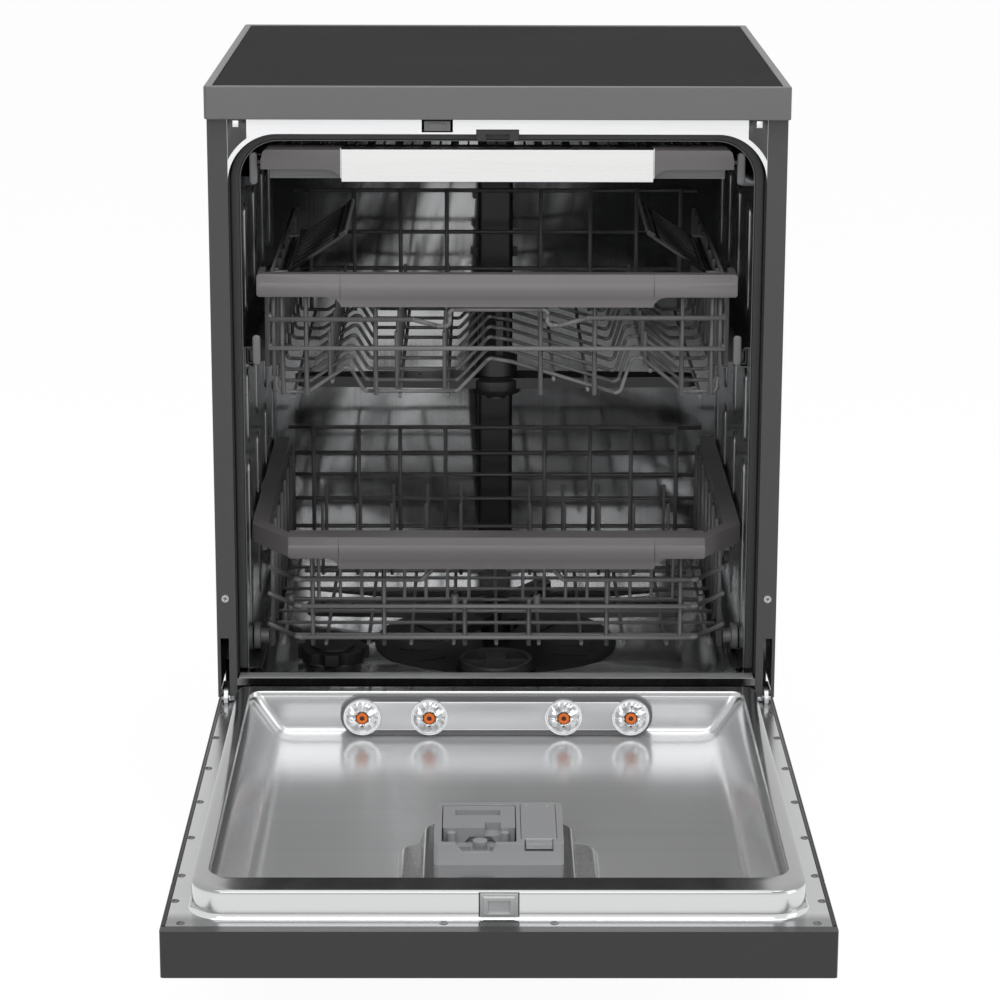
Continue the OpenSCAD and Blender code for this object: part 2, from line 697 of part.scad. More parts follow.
lid_z = 205;
det_lo = [-53, -441];
det_hi = [17, -345];
rinse_lo = [21, -446];
rinse_hi = [55, -343];
module dispenser_body() color(c_grey) at_front() {
  difference() {
    rounded_block([disp_lo.x, disp_lo.y, pan_z + 6.2], [disp_hi.x, disp_hi.y, lid_z], 5);
    // front face set back towards the pan's floor
    block([disp_lo.x - 1, disp_lo.y - 1, pan_z], [disp_hi.x + 1, disp_lo.y + 2, 181]);
    // detergent chamber, with the finger notch in the wall before its lid
    rounded_block([det_lo.x, det_lo.y, pan_z + 9], [det_hi.x, det_hi.y, lid_z + 1], 3);
    upright(disp_lo.y - 1, det_lo.y + 4) polygon([[-41, lid_z + 1], [-40, lid_z], [-34, lid_z - 8.8],
      [-5.5, lid_z - 8.8], [-2, lid_z], [-1, lid_z + 1]]);
    // rinse-aid chamber under its lid
    rounded_block([rinse_lo.x, rinse_lo.y + 12, lid_z - 4], [rinse_hi.x, rinse_hi.y, lid_z + 1], 2);
    translate([38, -385, pan_z + 9]) cylinder(h = 40, r = 13);
    block([24.4, disp_lo.y - 1, lid_z - 8], [51, rinse_lo.y + 16.5, lid_z + 1]);
  }
}

det_face_y = -403;
det_knob_x = -17;
module detergent_lid() color(c_grey) at_front() {
  z0 = lid_z - 17;
  difference() {
    union() {
      rounded_block([det_lo.x + 0.8, det_face_y, z0], [det_hi.x - 0.8, det_hi.y - 0.8, lid_z - 1], 2);
      // lip under the face that carries the catch posts and the turning knob
      block([det_lo.x + 4, det_face_y - 10, z0 - 6], [det_hi.x - 4, det_face_y + 3, z0 + 1]);
      block([det_knob_x - 9, det_face_y - 25, z0 - 6], [det_knob_x + 9, det_face_y, z0 + 1]);
      for (x = [det_lo.x + 9, det_hi.x - 10.5])
        translate([x, det_face_y - 4.2, z0 - 2]) cylinder(h = 15, r = 4);
    }
    // grip slot, catch notch and the face's arch over the knob
    block([det_lo.x + 12.5, det_hi.y - 25, lid_z - 6], [2.4, det_hi.y - 12, lid_z]);
    block([-12.6, det_face_y - 1, lid_z - 9], [2.4, det_face_y + 14, lid_z]);
    upright(det_face_y - 1, det_face_y + 7) polygon([[det_knob_x - 15, z0 + 1.1], [det_knob_x - 10, z0 + 7],
      [det_knob_x + 10, z0 + 7], [det_knob_x + 15, z0 + 1.1]]);
  }
  translate([det_knob_x, det_face_y - 16, z0]) cylinder(h = 10, r = 6.5);
}

module rinse_aid_lid() color(c_grey) at_front() {
  difference() {
    union() {
      rounded_block([rinse_lo.x + 0.5, rinse_lo.y + 12.5, lid_z - 3.6],
        [rinse_hi.x - 0.5, rinse_hi.y - 0.5, lid_z + 0.4], 2);
      block([25.5, rinse_lo.y + 1, lid_z - 6], [50.5, rinse_lo.y + 16, lid_z - 0.6]);
    }
    for (x = [26, 46]) block([x, rinse_hi.y - 8, lid_z - 1], [x + 3, rinse_hi.y - 3, lid_z + 1]);
  }
}

// --- cutlery tray -------------------------------------------------------------------
module cutlery_tray() color(c_wire) at_front() {
  half_w = 238;
  front = 62;
  back = 485;
  z0 = 746;
  // slotted floor
  difference() {
    block([-half_w, front, z0], [half_w, back, z0 + 2.5]);
    for (i = [-7 : 7], j = [0 : 5])
      block([i * 31 - 11, front + 18 + j * 68, z0 - 1], [i * 31 + 11, front + 70 + j * 68, z0 + 4]);
  }
  // walls, with the slides that hang in the rails
  floor_top = z0 + 2.5 + hairline;
  for (s = [-1, 1]) translate([s * (half_w - 1.5), 0, 0]) {
    block([-1.5, front, floor_top], [1.5, back, 764]);
    block([s > 0 ? 1.5 : -15, front + 6, 760], [s > 0 ? 15 : -1.5, back, 764]);
  }
  for (y = [front, back - 3])
    block([-half_w + 3 + hairline, y, floor_top], [half_w - 3 - hairline, y + 3, 757.5]);
  // ribs that keep the cutlery apart
  for (i = [-7 : 7])
    block([i * 31 - 1, front + 25, floor_top], [i * 31 + 1, back - 25, 757]);
}

tray_grip_x = 162;
module cutlery_handle() color(c_alu) at_front() {
  // satin bar between the two moulded ends
  intersection() {
    block([-tray_grip_x, 44, 745], [tray_grip_x, 61.9, 779]);
    across(-tray_grip_x, tray_grip_x) {
      translate([50, 745]) square([11.9, 34]);
      translate([54, 762]) circle(r = 19.5, $fn = 72);
    }
  }
  both_sides() intersection() {
    upright(44, 61.9) polygon([[tray_grip_x, 781], [238, 781], [244, 776], [246, 768],
      [246, 758], [180, 758], [173, 757], [167.3, 754.2], [163.4, 750], [tray_grip_x, 745]]);
    across(tray_grip_x, 250) {
      translate([50, 745]) square([11.9, 36]);
      translate([54, 764]) circle(r = 17.5, $fn = 72);
    }
  }
}

// --- upper rack ---------------------------------------------------------------------
upper_x = 236;                           // half width of the basket
upper_front_y = 47;
upper_back_y = 492;
hoop_pitch = 54.28;
hoop_ys = [for (i = [0 : 8]) upper_front_y + 5.35 + hoop_pitch * i];
upper_top_z = 640;
floor_profile = [                        // one hoop of the upper rack's floor, from left to right
  [-233, 536], [-233, 519], [-200, 519], [-157, 548], [-140, 520], [-42, 520], [-8, 556],
  [16, 552], [130, 517], [142, 556], [152, 557], [198, 520], [233, 520], [233, 536]
];

// Height of the hoop's centre line above x
function lift(x, p = floor_profile, i = 1) =
  x <= p[i + 1].x ? p[i].y + (p[i + 1].y - p[i].y) * (x - p[i].x) / (p[i + 1].x - p[i].x)
  : lift(x, p, i + 1);

// Height of a long wire that just clears the hoops from below
function under(x) =
  lift(x) - (tine_d + 2 * hairline) * norm([1, (lift(x + 1) - lift(x - 1)) / 2]);

shelf_pivot = [228, 637];                // X and Z of a cup shelf's rod
shelf_eye_y = [86, 302];
cup_tine_x = [-178, -107, -56, 158];
module upper_rack_floor() color(c_wire) at_front() {
  for (y = hoop_ys) translate([0, y, upper_floor_z - 519]) rotate([90, 0, 0])
    bent_wire(floor_profile, tine_d, 6);
  // long wires under the hoops
  beside = tine_d + hairline;
  for (x = concat([-215.4, 60, 96, 215.4], [for (t = cup_tine_x) t + beside]))
    bar([x, upper_front_y - 2, under(x)], [x, upper_back_y, under(x)], tine_d);
  // rows of tines beside them, between the hoops
  for (x = cup_tine_x, i = [0 : 7]) {
    y = hoop_ys[i] + hoop_pitch / 2;
    bar([x, y, under(x + beside) - 2], [x, y, 578], tine_d);
    translate([x, y, 578]) sphere(d = tine_d * 1.02);
  }
}

module upper_rack_walls() color(c_wire) at_front() {
  top_front = 599;
  low_front = 568;
  // front grille: the top wire dips, then rises under the handle
  union() {
    translate([0, upper_front_y - 3, 0]) rotate([90, 0, 0]) bent_wire([[-240, top_front],
      [-88, top_front], [-62, 592], [-50, 592], [-50, 610], [53, 610], [53, 593], [66, 593],
      [96, 601], [240, 601]], wire_d, 5);
    bar([-240, upper_front_y - 3, low_front], [240, upper_front_y - 3, low_front], wire_d);
    for (x = [-226, -201, -128, 46, 103, 195, 226])
      bar([x, upper_front_y + 0.8, 517], [x, upper_front_y + 0.8, 641.9], wire_d);
  }
  // rear grille
  union() {
    for (z = [662, 612, low_front])
      bar([-240, upper_back_y + 3, z], [240, upper_back_y + 3, z], wire_d);
    for (x = [-220, -168, -113, -58, 54, 113, 168, 220])
      bar([x, upper_back_y - 0.8, 517], [x, upper_back_y - 0.8, 665], wire_d);
  }
  // side grilles, with the hanger plate, the slide that runs in the telescopic runner
  // and the two eyes that hold a cup shelf
  both_sides() {
    for (z = [upper_top_z, 601, low_front])
      bar([upper_x + 3.2, upper_front_y - 0.45, z], [upper_x + 3.2, upper_back_y + 0.45, z], wire_d);
    for (y = hoop_ys)
      bar([upper_x - 0.6, y + 2, 536 + hairline], [upper_x - 0.6, y + 2, upper_top_z + 2], wire_d);
    difference() {
      across(upper_x + 4, upper_x + 9) polygon([[58, 545], [470, 545], [470, 566], [330, 572],
        [310, 600], [120, 600], [100, 640], [62, 640], [58, 620]]);
      for (y = [150, 210, 270])
        across(upper_x, upper_x + 12) translate([y, 572]) rounded([0, 0], [40, 16], 6);
    }
    block([upper_x + 8.9, 62, runner_z - 6], [tub_x - 5, 470, runner_z + 6]);
    for (y = shelf_eye_y) upright(y, y + 4) difference() {
      translate([0, shelf_pivot.y]) polygon([[222, -7], [239.9, -21], [239.9, 4], [235, 6], [222, 6]]);
      translate(shelf_pivot) circle(r = 2 + run_fit);
    }
  }
}

module upper_rack_handle() color(c_grip) at_front() {
  front = 38;
  back = upper_front_y - 5.6;
  // bowed face: a deep middle and shallower ends
  intersection() {
    upright(front - 1, back + 12) {
      polygon([[-252, 626], [-250, 624], [-179, 624], [-173, 623.1], [-168.2, 620.4],
        [-165, 616.8], [-164, 613], [164, 613], [165, 616.8], [168.2, 620.4], [173, 623.1],
        [179, 624], [250, 624], [252, 626], [252, 646], [249, 648], [-249, 648], [-252, 646]]);
    }
    union() {
      across(-253, 253) difference() {
        translate([front + 2, 612]) square([back + 12 - front - 2, 37]);
        // hollow back that the fingers reach into
        translate([back, 611]) square([20, 31]);
      }
      across(-253, 253) intersection() {
        translate([front + 22, 630]) circle(r = 22, $fn = 96);
        translate([front - 1, 612]) square([4, 37]);
      }
    }
  }
  // end caps that wrap round the basket's front corners
  both_sides() block([upper_x + 9 + hairline, back - 2, 626], [252, 92, 646]);
}

// Folding shelf for cups, hinged along the basket's side
module cup_shelf() {
  tilt = 34;
  translate([shelf_pivot.x, 0, shelf_pivot.y]) rotate([0, tilt, 0]) {
    difference() {
      block([-74, 92, -2], [-4, 300, 1]);
      for (j = [0 : 7]) block([-66, 100 + j * 25, -5], [-12, 117 + j * 25, 5]);
    }
    // comb edge for stems
    for (j = [0 : 12]) block([-82, 94 + j * 16.5, -2], [-73.9, 100 + j * 16.5, 3]);
    translate([0, 92, 0]) rotate([-90, 0, 0]) cylinder(h = 208, r = 4.5);
    translate([0, shelf_eye_y[0], 0]) rotate([-90, 0, 0]) cylinder(h = shelf_eye_y[1] + 4 - shelf_eye_y[0], r = 2);
    block([-6, 92, -2], [0, 300, 2]);
  }
}
module right_cup_shelf() color(c_dark) at_front() cup_shelf();
module left_cup_shelf() color(c_dark) at_front() mirror([1, 0, 0]) cup_shelf();

module upper_runners() color(c_steel) at_front() both_sides() {
  block([tub_x - 3.2, 60, runner_z - 8.6], [tub_x - 2, 500, runner_z + 8.6]);
  for (s = [-1, 1])
    block([upper_x + 22, 60, runner_z + s * 7.9 - 0.7], [tub_x - 3.1, 500, runner_z + s * 7.9 + 0.7]);
}

module spray_feed() color(c_dark) at_front() {
  // flattened pipe under the basket, from the rear port to the arm's hub
  difference() {
    rounded_block([-13, arm_y - 13, 495], [13, 514, 511], 6);
    block([-10, arm_y + 30, 498], [10, 516, 508]);
  }
  translate([0, arm_y, 491]) cylinder(h = 21, r = 24);
  // posts up to the basket's hoops
  for (i = [4, 6, 8]) block([0, hoop_ys[i] - 4, 510], [8, hoop_ys[i] + 4, 551.2]);
  // spindle that the arm turns on
  translate([0, arm_y, 466]) cylinder(h = 26, r = 7);
  translate([0, arm_y, 462.4]) cylinder(h = 3.6, r = 11);
}

// --- spray arms ---------------------------------------------------------------------
// Flat arm with rounded ends, tapering outward, with jets along its top
module arm(r, z0, z1, w0, w1) {
  difference() {
    translate([0, 0, z0]) linear_extrude(z1 - z0) {
      polygon([[-r, -w1 / 2], [0, -w0 / 2], [r, -w1 / 2], [r, w1 / 2], [0, w0 / 2], [-r, w1 / 2]]);
      translate([r, 0]) circle(d = w1);
      translate([-r, 0]) circle(d = w1);
    }
    for (s = [-1, 1], k = [0.4, 0.6, 0.8, 0.97])
      translate([s * r * k, 0, z1 - 2]) cylinder(h = 5, r = 2.2);
  }
}

module lower_spray_arm() color(c_dark) at_front() translate([0, arm_y, 0]) difference() {
  union() {
    arm(lower_arm_r, 206, 218, 46, 24);
    rotate([0, 0, 60]) arm(110, 206, 216, 40, 22);
    translate([0, 0, 200]) cylinder(h = 21.6, r = 26);
  }
  translate([0, 0, 195]) cylinder(h = 40, r = 8 + run_fit);
}

module middle_spray_arm() color(c_dark) at_front() translate([0, arm_y, 0]) difference() {
  union() {
    arm(middle_arm_r, 477, 489, 44, 24);
    rotate_extrude() polygon([[0, 466.2], [16, 466.2], [27, 470], [31, 477], [31, 486], [26, 490.6], [0, 490.6]]);
  }
  translate([0, 0, 460]) cylinder(h = 40, r = 7 + run_fit);
}

module top_spray_arm() color(c_dark) at_front() translate([0, arm_y, 0]) difference() {
  union() {
    arm(top_arm_r, 766, 773, 34, 18);
    translate([0, 0, 764.3]) cylinder(h = 10.4, r = 20);
  }
  translate([0, 0, 760]) cylinder(h = 30, r = 6 + run_fit);
}

// --- lower rack ---------------------------------------------------------------------
lower_x = 248;                           // half width of the basket
lower_front_y = 48;
lower_back_y = 490;
corner_x = 205;                          // where the front corners start to cut back
corner_y = 96;
lower_wires = [313, 283, lower_floor_z + 8];
grip_under_z = 359.9;                    // underside of the lower handle's top web
wheel_r = 15;
wheel_z = 212 + wheel_r + 0.3;
front_wheel_y = 120;
rear_wheel_y = 430;
fold_y = 175;                            // rods of the folding rows of plate tines
fold_z = lower_floor_z + 12;

module lower_rack_floor() color(c_wire) at_front() {
  step_x = 46;
  step_y = 43;
  union() {
    for (i = [-5 : 5])
      bar([i * step_x, lower_front_y + 2, lower_floor_z], [i * step_x, lower_back_y, lower_floor_z], tine_d);
    for (j = [0 : 9])
      bar([-lower_x + 6.35 + (j == 0 ? 14 : 0), lower_front_y + 26 + j * step_y, lower_floor_z + 3],
        [lower_x - 6.35 - (j == 0 ? 14 : 0), lower_front_y + 26 + j * step_y, lower_floor_z + 3], tine_d);
    // clips that hold the folding rows' rods
    both_sides() for (x = [step_x, 5 * step_x]) difference() {
      block([x - 4, fold_y - 5, lower_floor_z - 1], [x + 4, fold_y + 5, fold_z + 5]);
      translate([x - 5, fold_y, fold_z]) rotate([0, 90, 0]) cylinder(h = 10, r = wire_d / 2 + run_fit);
    }
  }
  // fixed rows of tines behind the folding ones, each beside its own wire
  for (y = [310, 397]) {
    for (x = [-5 : 5]) if (x != 0) {
      bar([x * 40, y, lower_floor_z + 1], [x * 40, y, 325], tine_d);
      translate([x * 40, y, 325]) sphere(d = tine_d * 1.02);
    }
    wire = [y + tine_d + hairline, lower_floor_z + tine_d + hairline];
    for (s = [-1, 1]) bar([s * 12, wire.x, wire.y], [s * 222, wire.x, wire.y], tine_d);
  }
}

module lower_rack_walls() color(c_wire) at_front() {
  front = lower_front_y;
  // front grille
  union() {
    translate([0, front, 0]) rotate([90, 0, 0]) bent_wire([[-corner_x, 313], [-80, 313], [-70, 323],
      [-70, grip_under_z]], wire_d, 4);
    translate([0, front, 0]) rotate([90, 0, 0]) bent_wire([[62, grip_under_z], [62, 323], [72, 313],
      [corner_x, 313]], wire_d, 4);
    for (z = [283, lower_floor_z + 8]) bar([-corner_x, front, z], [corner_x, front, z], wire_d);
    for (x = [-198, -121, -34, 35, 119, 198])
      bar([x, front + 3.8, lower_floor_z - 2], [x, front + 3.8, abs(x) < 50 ? 290 : grip_under_z], wire_d);
  }
  // rear grille
  union() {
    for (z = concat([372, 340], lower_wires))
      bar([-lower_x - 2, lower_back_y + 5, z], [lower_x + 2, lower_back_y + 5, z], wire_d);
    for (x = [-220, -165, -115, -60, 60, 115, 165, 220])
      bar([x, lower_back_y + 1.2, lower_floor_z - 2], [x, lower_back_y + 1.2, 374], wire_d);
  }
  // side grilles, with their cut-back front corners and wheel stubs
  both_sides() {
    for (z = lower_wires) translate([0, 0, z])
      bent_wire([[corner_x + hairline, front], [corner_x + 9, front], [lower_x, corner_y],
        [lower_x, lower_back_y + 2.45]], wire_d, 8);
    for (y = [corner_y + 6, 150, 205, 260, 315, 370, 425, 480])
      bar([lower_x - 3.8, y, lower_floor_z - 2], [lower_x - 3.8, y, 353], wire_d);
    for (y = [front_wheel_y, rear_wheel_y]) {
      rounded_block([lower_x - 4, y - 12, wheel_z - 9], [lower_x + 1, y + 12, lower_floor_z + 12], 2);
      translate([lower_x, y, wheel_z]) rotate([0, 90, 0]) cylinder(h = 17.4, r = 4);
    }
  }
}

module wheel_pair(y) color(c_grey) at_front() both_sides() translate([0, y, wheel_z]) {
  difference() {
    union() {
      translate([lower_x + 11.5, 0, 0]) rotate([0, 90, 0]) cylinder(h = 6.5, r = wheel_r);
      translate([lower_x + 2, 0, 0]) rotate([0, 90, 0]) cylinder(h = 10, r = 8);
    }
    translate([lower_x, 0, 0]) rotate([0, 90, 0]) cylinder(h = 30, r = 4 + run_fit);
    for (a = [0 : 72 : 288]) rotate([a, 0, 0]) translate([lower_x + 15, 0, 10.5]) rotate([0, 90, 0])
      cylinder(h = 8, r = 2.4);
  }
}
module front_wheels() wheel_pair(front_wheel_y);
module rear_wheels() wheel_pair(rear_wheel_y);

module lower_rack_handle() color(c_grip) at_front() {
  front = 24;
  z1 = 366;
  inner_x = lower_x - 1.25;
  // front bar: deep in the middle
  intersection() {
    upright(front - 1, 60) polygon([[-222, 345], [-220, 343], [-183, 343], [-177, 342],
      [-172.3, 339.2], [-169.1, 335.4], [-168, 331], [168, 331], [169.1, 335.4], [172.3, 339.2],
      [177, 342], [183, 343], [220, 343], [222, 345], [222, z1], [-222, z1]]);
    union() {
      across(-223, 223) difference() {
        translate([front + 2, 330]) square([lower_front_y + 6.5 - front - 2, z1 - 330]);
        translate([front + 7, 329]) square([40, grip_under_z + hairline - 329]);
      }
      across(-223, 223) intersection() {
        translate([front + 24, 348]) circle(r = 24, $fn = 96);
        translate([front - 1, 330]) square([4, z1 - 330]);
      }
    }
  }
  // corners that cut back to the side rails, which run to the rear of the basket
  both_sides() translate([0, 0, 345]) linear_extrude(z1 - 345 - 0.5)
    polygon([[222, front + 1], [264, 84], [264, 470], [257, 478], [inner_x, 470], [inner_x, 88],
      [218, front + 18]]);
}

// Row of plate tines that folds down on a rod; its rod lies along the row
module plate_tines() {
  for (i = [0 : tine_count - 1]) {
    x = 30 + i * 24;
    bar([x, fold_y, fold_z + 1], [x, fold_y, 325], tine_d);
    translate([x, fold_y, 325]) sphere(d = tine_d * 1.02);
  }
  bar([14, fold_y, fold_z], [232, fold_y, fold_z], wire_d);
}
module right_plate_tines() color(c_wire) at_front() plate_tines();
module left_plate_tines() color(c_wire) at_front() mirror([1, 0, 0]) plate_tines();

// --- one line for each node ---------------------------------------------------------
worktop_frame();
worktop_panel();
side_panels();
rear_panel();
base_tray();
plinth();
top_front_rail();
tub_side_walls();
tub_roof();
tub_back_wall();
tub_floor();
door_gasket();
rack_rails();
water_duct();
sump_housing();
flat_filter();
filter_cup();
salt_cap();
circulation_pump();
drain_pump();
steam_generator();
water_softener();
inlet_valve();
hinge_springs();
door_latch();
door_pusher();
top_spray_arm();
lower_spray_arm();
front_left_foot();
front_right_foot();
rear_foot();
door_outer_panel();
door_fascia();
door_liner();
hinge_arms();
door_screws();
steam_bar();
steam_nozzles();
strike_plate();
dispenser_body();
detergent_lid();
rinse_aid_lid();
power_button();
cutlery_tray();
cutlery_handle();
upper_rack_walls();
upper_rack_floor();
upper_rack_handle();
left_cup_shelf();
right_cup_shelf();
spray_feed();
middle_spray_arm();
upper_runners();
lower_rack_walls();
lower_rack_floor();
lower_rack_handle();
left_plate_tines();
right_plate_tines();
front_wheels();
rear_wheels();
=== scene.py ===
import bpy, json
from math import atan2, cos, hypot, pi, radians
from mathutils import Matrix, Euler, Vector


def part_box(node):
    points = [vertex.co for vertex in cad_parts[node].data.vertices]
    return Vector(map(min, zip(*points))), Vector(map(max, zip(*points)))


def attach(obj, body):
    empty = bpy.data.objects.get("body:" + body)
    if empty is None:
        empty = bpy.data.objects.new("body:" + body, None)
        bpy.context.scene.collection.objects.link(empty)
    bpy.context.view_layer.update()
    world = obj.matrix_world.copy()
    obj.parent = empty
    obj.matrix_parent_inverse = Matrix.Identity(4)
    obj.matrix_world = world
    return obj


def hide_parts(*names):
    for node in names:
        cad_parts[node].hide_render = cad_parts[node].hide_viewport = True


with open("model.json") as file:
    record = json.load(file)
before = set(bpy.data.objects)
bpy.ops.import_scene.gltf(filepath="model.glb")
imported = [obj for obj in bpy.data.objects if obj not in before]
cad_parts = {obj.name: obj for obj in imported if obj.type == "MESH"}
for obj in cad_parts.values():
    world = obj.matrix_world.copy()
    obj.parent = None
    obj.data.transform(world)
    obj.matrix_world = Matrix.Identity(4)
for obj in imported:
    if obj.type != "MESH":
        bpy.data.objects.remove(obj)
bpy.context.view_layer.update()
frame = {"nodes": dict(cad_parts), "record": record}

bpy.ops.object.select_all(action="DESELECT")


# ---------------------------------------------------------------------------------
# Studio: a pale floor, white surroundings and large soft lamps
# The machine stands on a white floor, lit from above and from the front.
def plain_nodes(owner):
    """Gives a material or a world an empty node tree."""
    owner.use_nodes = True
    owner.node_tree.nodes.clear()
    return owner.node_tree.nodes, owner.node_tree.links


def seen_directly(nodes, links):
    """1 on what is seen straight, mirrored or through clear plastic, 0 on what only lights."""
    path = nodes.new("ShaderNodeLightPath")
    either, any_ray = nodes.new("ShaderNodeMath"), nodes.new("ShaderNodeMath")
    either.operation = any_ray.operation = "MAXIMUM"
    links.new(path.outputs["Is Camera Ray"], either.inputs[0])
    links.new(path.outputs["Is Glossy Ray"], either.inputs[1])
    links.new(either.outputs[0], any_ray.inputs[0])
    links.new(path.outputs["Is Transmission Ray"], any_ray.inputs[1])
    return any_ray.outputs[0]


def blend_shaders(nodes, links, share, first, second, out):
    blend = nodes.new("ShaderNodeMixShader")
    links.new(share, blend.inputs[0])
    links.new(first.outputs[0], blend.inputs[1])
    links.new(second.outputs[0], blend.inputs[2])
    links.new(blend.outputs[0], out.inputs[0])


floor_width, floor_drop = 24, 0.0005
bpy.ops.mesh.primitive_plane_add(size=floor_width, location=(0, 0, -floor_drop))
studio_floor = bpy.context.object
studio_floor.name = "studio_floor"
floor_paint = bpy.data.materials.new("studio_floor_paint")
nodes, links = plain_nodes(floor_paint)
out = nodes.new("ShaderNodeOutputMaterial")
paint, glow = nodes.new("ShaderNodeBsdfDiffuse"), nodes.new("ShaderNodeEmission")
paint.inputs["Color"].default_value = (0.86, 0.86, 0.86, 1)
glow.inputs["Strength"].default_value = 1.06
share = nodes.new("ShaderNodeMath")
share.operation = "MULTIPLY"
share.inputs[1].default_value = 0.90
links.new(seen_directly(nodes, links), share.inputs[0])
blend_shaders(nodes, links, share.outputs[0], paint, glow, out)
studio_floor.data.materials.append(floor_paint)

world = bpy.data.worlds.new("studio_world")
bpy.context.scene.world = world
nodes, links = plain_nodes(world)
out = nodes.new("ShaderNodeOutputWorld")
lit, seen = nodes.new("ShaderNodeBackground"), nodes.new("ShaderNodeBackground")
lit.inputs["Color"].default_value = seen.inputs["Color"].default_value = (1, 1, 1, 1)
lit.inputs["Strength"].default_value = 0.30
blend_shaders(nodes, links, seen_directly(nodes, links), lit, seen, out)


def soft_lamp(name, place, aim, size, power):
    data = bpy.data.lights.new(name, "AREA")
    data.shape = "RECTANGLE"
    data.size, data.size_y = size
    data.energy = power
    lamp = bpy.data.objects.new(name, data)
    bpy.context.collection.objects.link(lamp)
    lamp.location = place
    lamp.rotation_euler = (Vector(aim) - Vector(place)).to_track_quat("-Z", "Y").to_euler()


soft_lamp("top_softbox", (0.0, -0.9, 3.2), (0, -0.1, 0.3), (3.2, 2.4), 46)
soft_lamp("front_softbox", (-0.4, -3.4, 2.0), (0, 0.1, 0.5), (2.6, 1.8), 34)
soft_lamp("side_softbox", (2.8, -1.4, 1.6), (0, -0.1, 0.4), (1.6, 2.2), 16)

# Camera: a long lens a little above the machine, looking down at its open front
camera_place = (-0.01524, -3.09946, 1.25733)
tilt_down, swing, roll = radians(14.01), radians(-0.338), radians(0.152)
camera_data = bpy.data.cameras.new("camera")
camera_data.lens = 110.47
camera_data.sensor_width = 36
camera_data.shift_y = -0.06
camera_data.clip_end = 40
camera = bpy.data.objects.new("camera", camera_data)
bpy.context.collection.objects.link(camera)
aimed = Euler((radians(90) - tilt_down, 0, swing)).to_matrix() @ Matrix.Rotation(roll, 3, "Z")
camera.matrix_world = Matrix.Translation(camera_place) @ aimed.to_4x4()
bpy.context.scene.camera = camera
bpy.context.scene.view_settings.view_transform = "Standard"


# ---------------------------------------------------------------------------------
# Worktop: a laminated board set in a moulded frame with a deep front band
# Both drop over the side panels. Their edges are softened by a small bevel, and the
# laminate has a fine matt grain.
def grain_group():
    """Two noises that vary a finish's colour and roughness, and raise a fine relief."""
    group = bpy.data.node_groups.new("surface_grain", "ShaderNodeTree")
    face = group.interface
    for name, kind, value in (
            ("Vector", "NodeSocketVector", None), ("Scale", "NodeSocketFloat", 200),
            ("Base", "NodeSocketColor", None), ("Second", "NodeSocketColor", None),
            ("Rough low", "NodeSocketFloat", 0.3), ("Rough high", "NodeSocketFloat", 0.4),
            ("Relief", "NodeSocketFloat", 0.1), ("Depth", "NodeSocketFloat", 0.0002)):
        socket = face.new_socket(name, in_out="INPUT", socket_type=kind)
        if value is not None:
            socket.default_value = value
    for name, kind in (("Color", "NodeSocketColor"), ("Roughness", "NodeSocketFloat"),
                       ("Normal", "NodeSocketVector")):
        face.new_socket(name, in_out="OUTPUT", socket_type=kind)
    nodes, links = group.nodes, group.links
    into, out = nodes.new("NodeGroupInput"), nodes.new("NodeGroupOutput")
    fine, broad = nodes.new("ShaderNodeTexNoise"), nodes.new("ShaderNodeTexNoise")
    fine.inputs["Detail"].default_value = 5
    broad.inputs["Scale"].default_value = 7
    broad.inputs["Detail"].default_value = 3
    both = nodes.new("ShaderNodeMix")
    both.inputs["Factor"].default_value = 0.45
    span, gloss = nodes.new("ShaderNodeMapRange"), nodes.new("ShaderNodeMapRange")
    span.inputs["From Min"].default_value = 0.32
    span.inputs["From Max"].default_value = 0.68
    tint = nodes.new("ShaderNodeMix")
    tint.data_type = "RGBA"
    bump = nodes.new("ShaderNodeBump")
    for source, target in (
            (into.outputs["Vector"], fine.inputs["Vector"]),
            (into.outputs["Vector"], broad.inputs["Vector"]),
            (into.outputs["Scale"], fine.inputs["Scale"]),
            (fine.outputs[0], both.inputs["A"]), (broad.outputs[0], both.inputs["B"]),
            (both.outputs["Result"], span.inputs["Value"]), (span.outputs[0], tint.inputs[0]),
            (into.outputs["Base"], tint.inputs[6]), (into.outputs["Second"], tint.inputs[7]),
            (span.outputs[0], gloss.inputs["Value"]),
            (into.outputs["Rough low"], gloss.inputs["To Min"]),
            (into.outputs["Rough high"], gloss.inputs["To Max"]),
            (fine.outputs[0], bump.inputs["Height"]),
            (into.outputs["Relief"], bump.inputs["Strength"]),
            (into.outputs["Depth"], bump.inputs["Distance"]),
            (tint.outputs[2], out.inputs["Color"]), (gloss.outputs[0], out.inputs["Roughness"]),
            (bump.outputs[0], out.inputs["Normal"])):
        links.new(source, target)
    return group


surface_grain = grain_group()


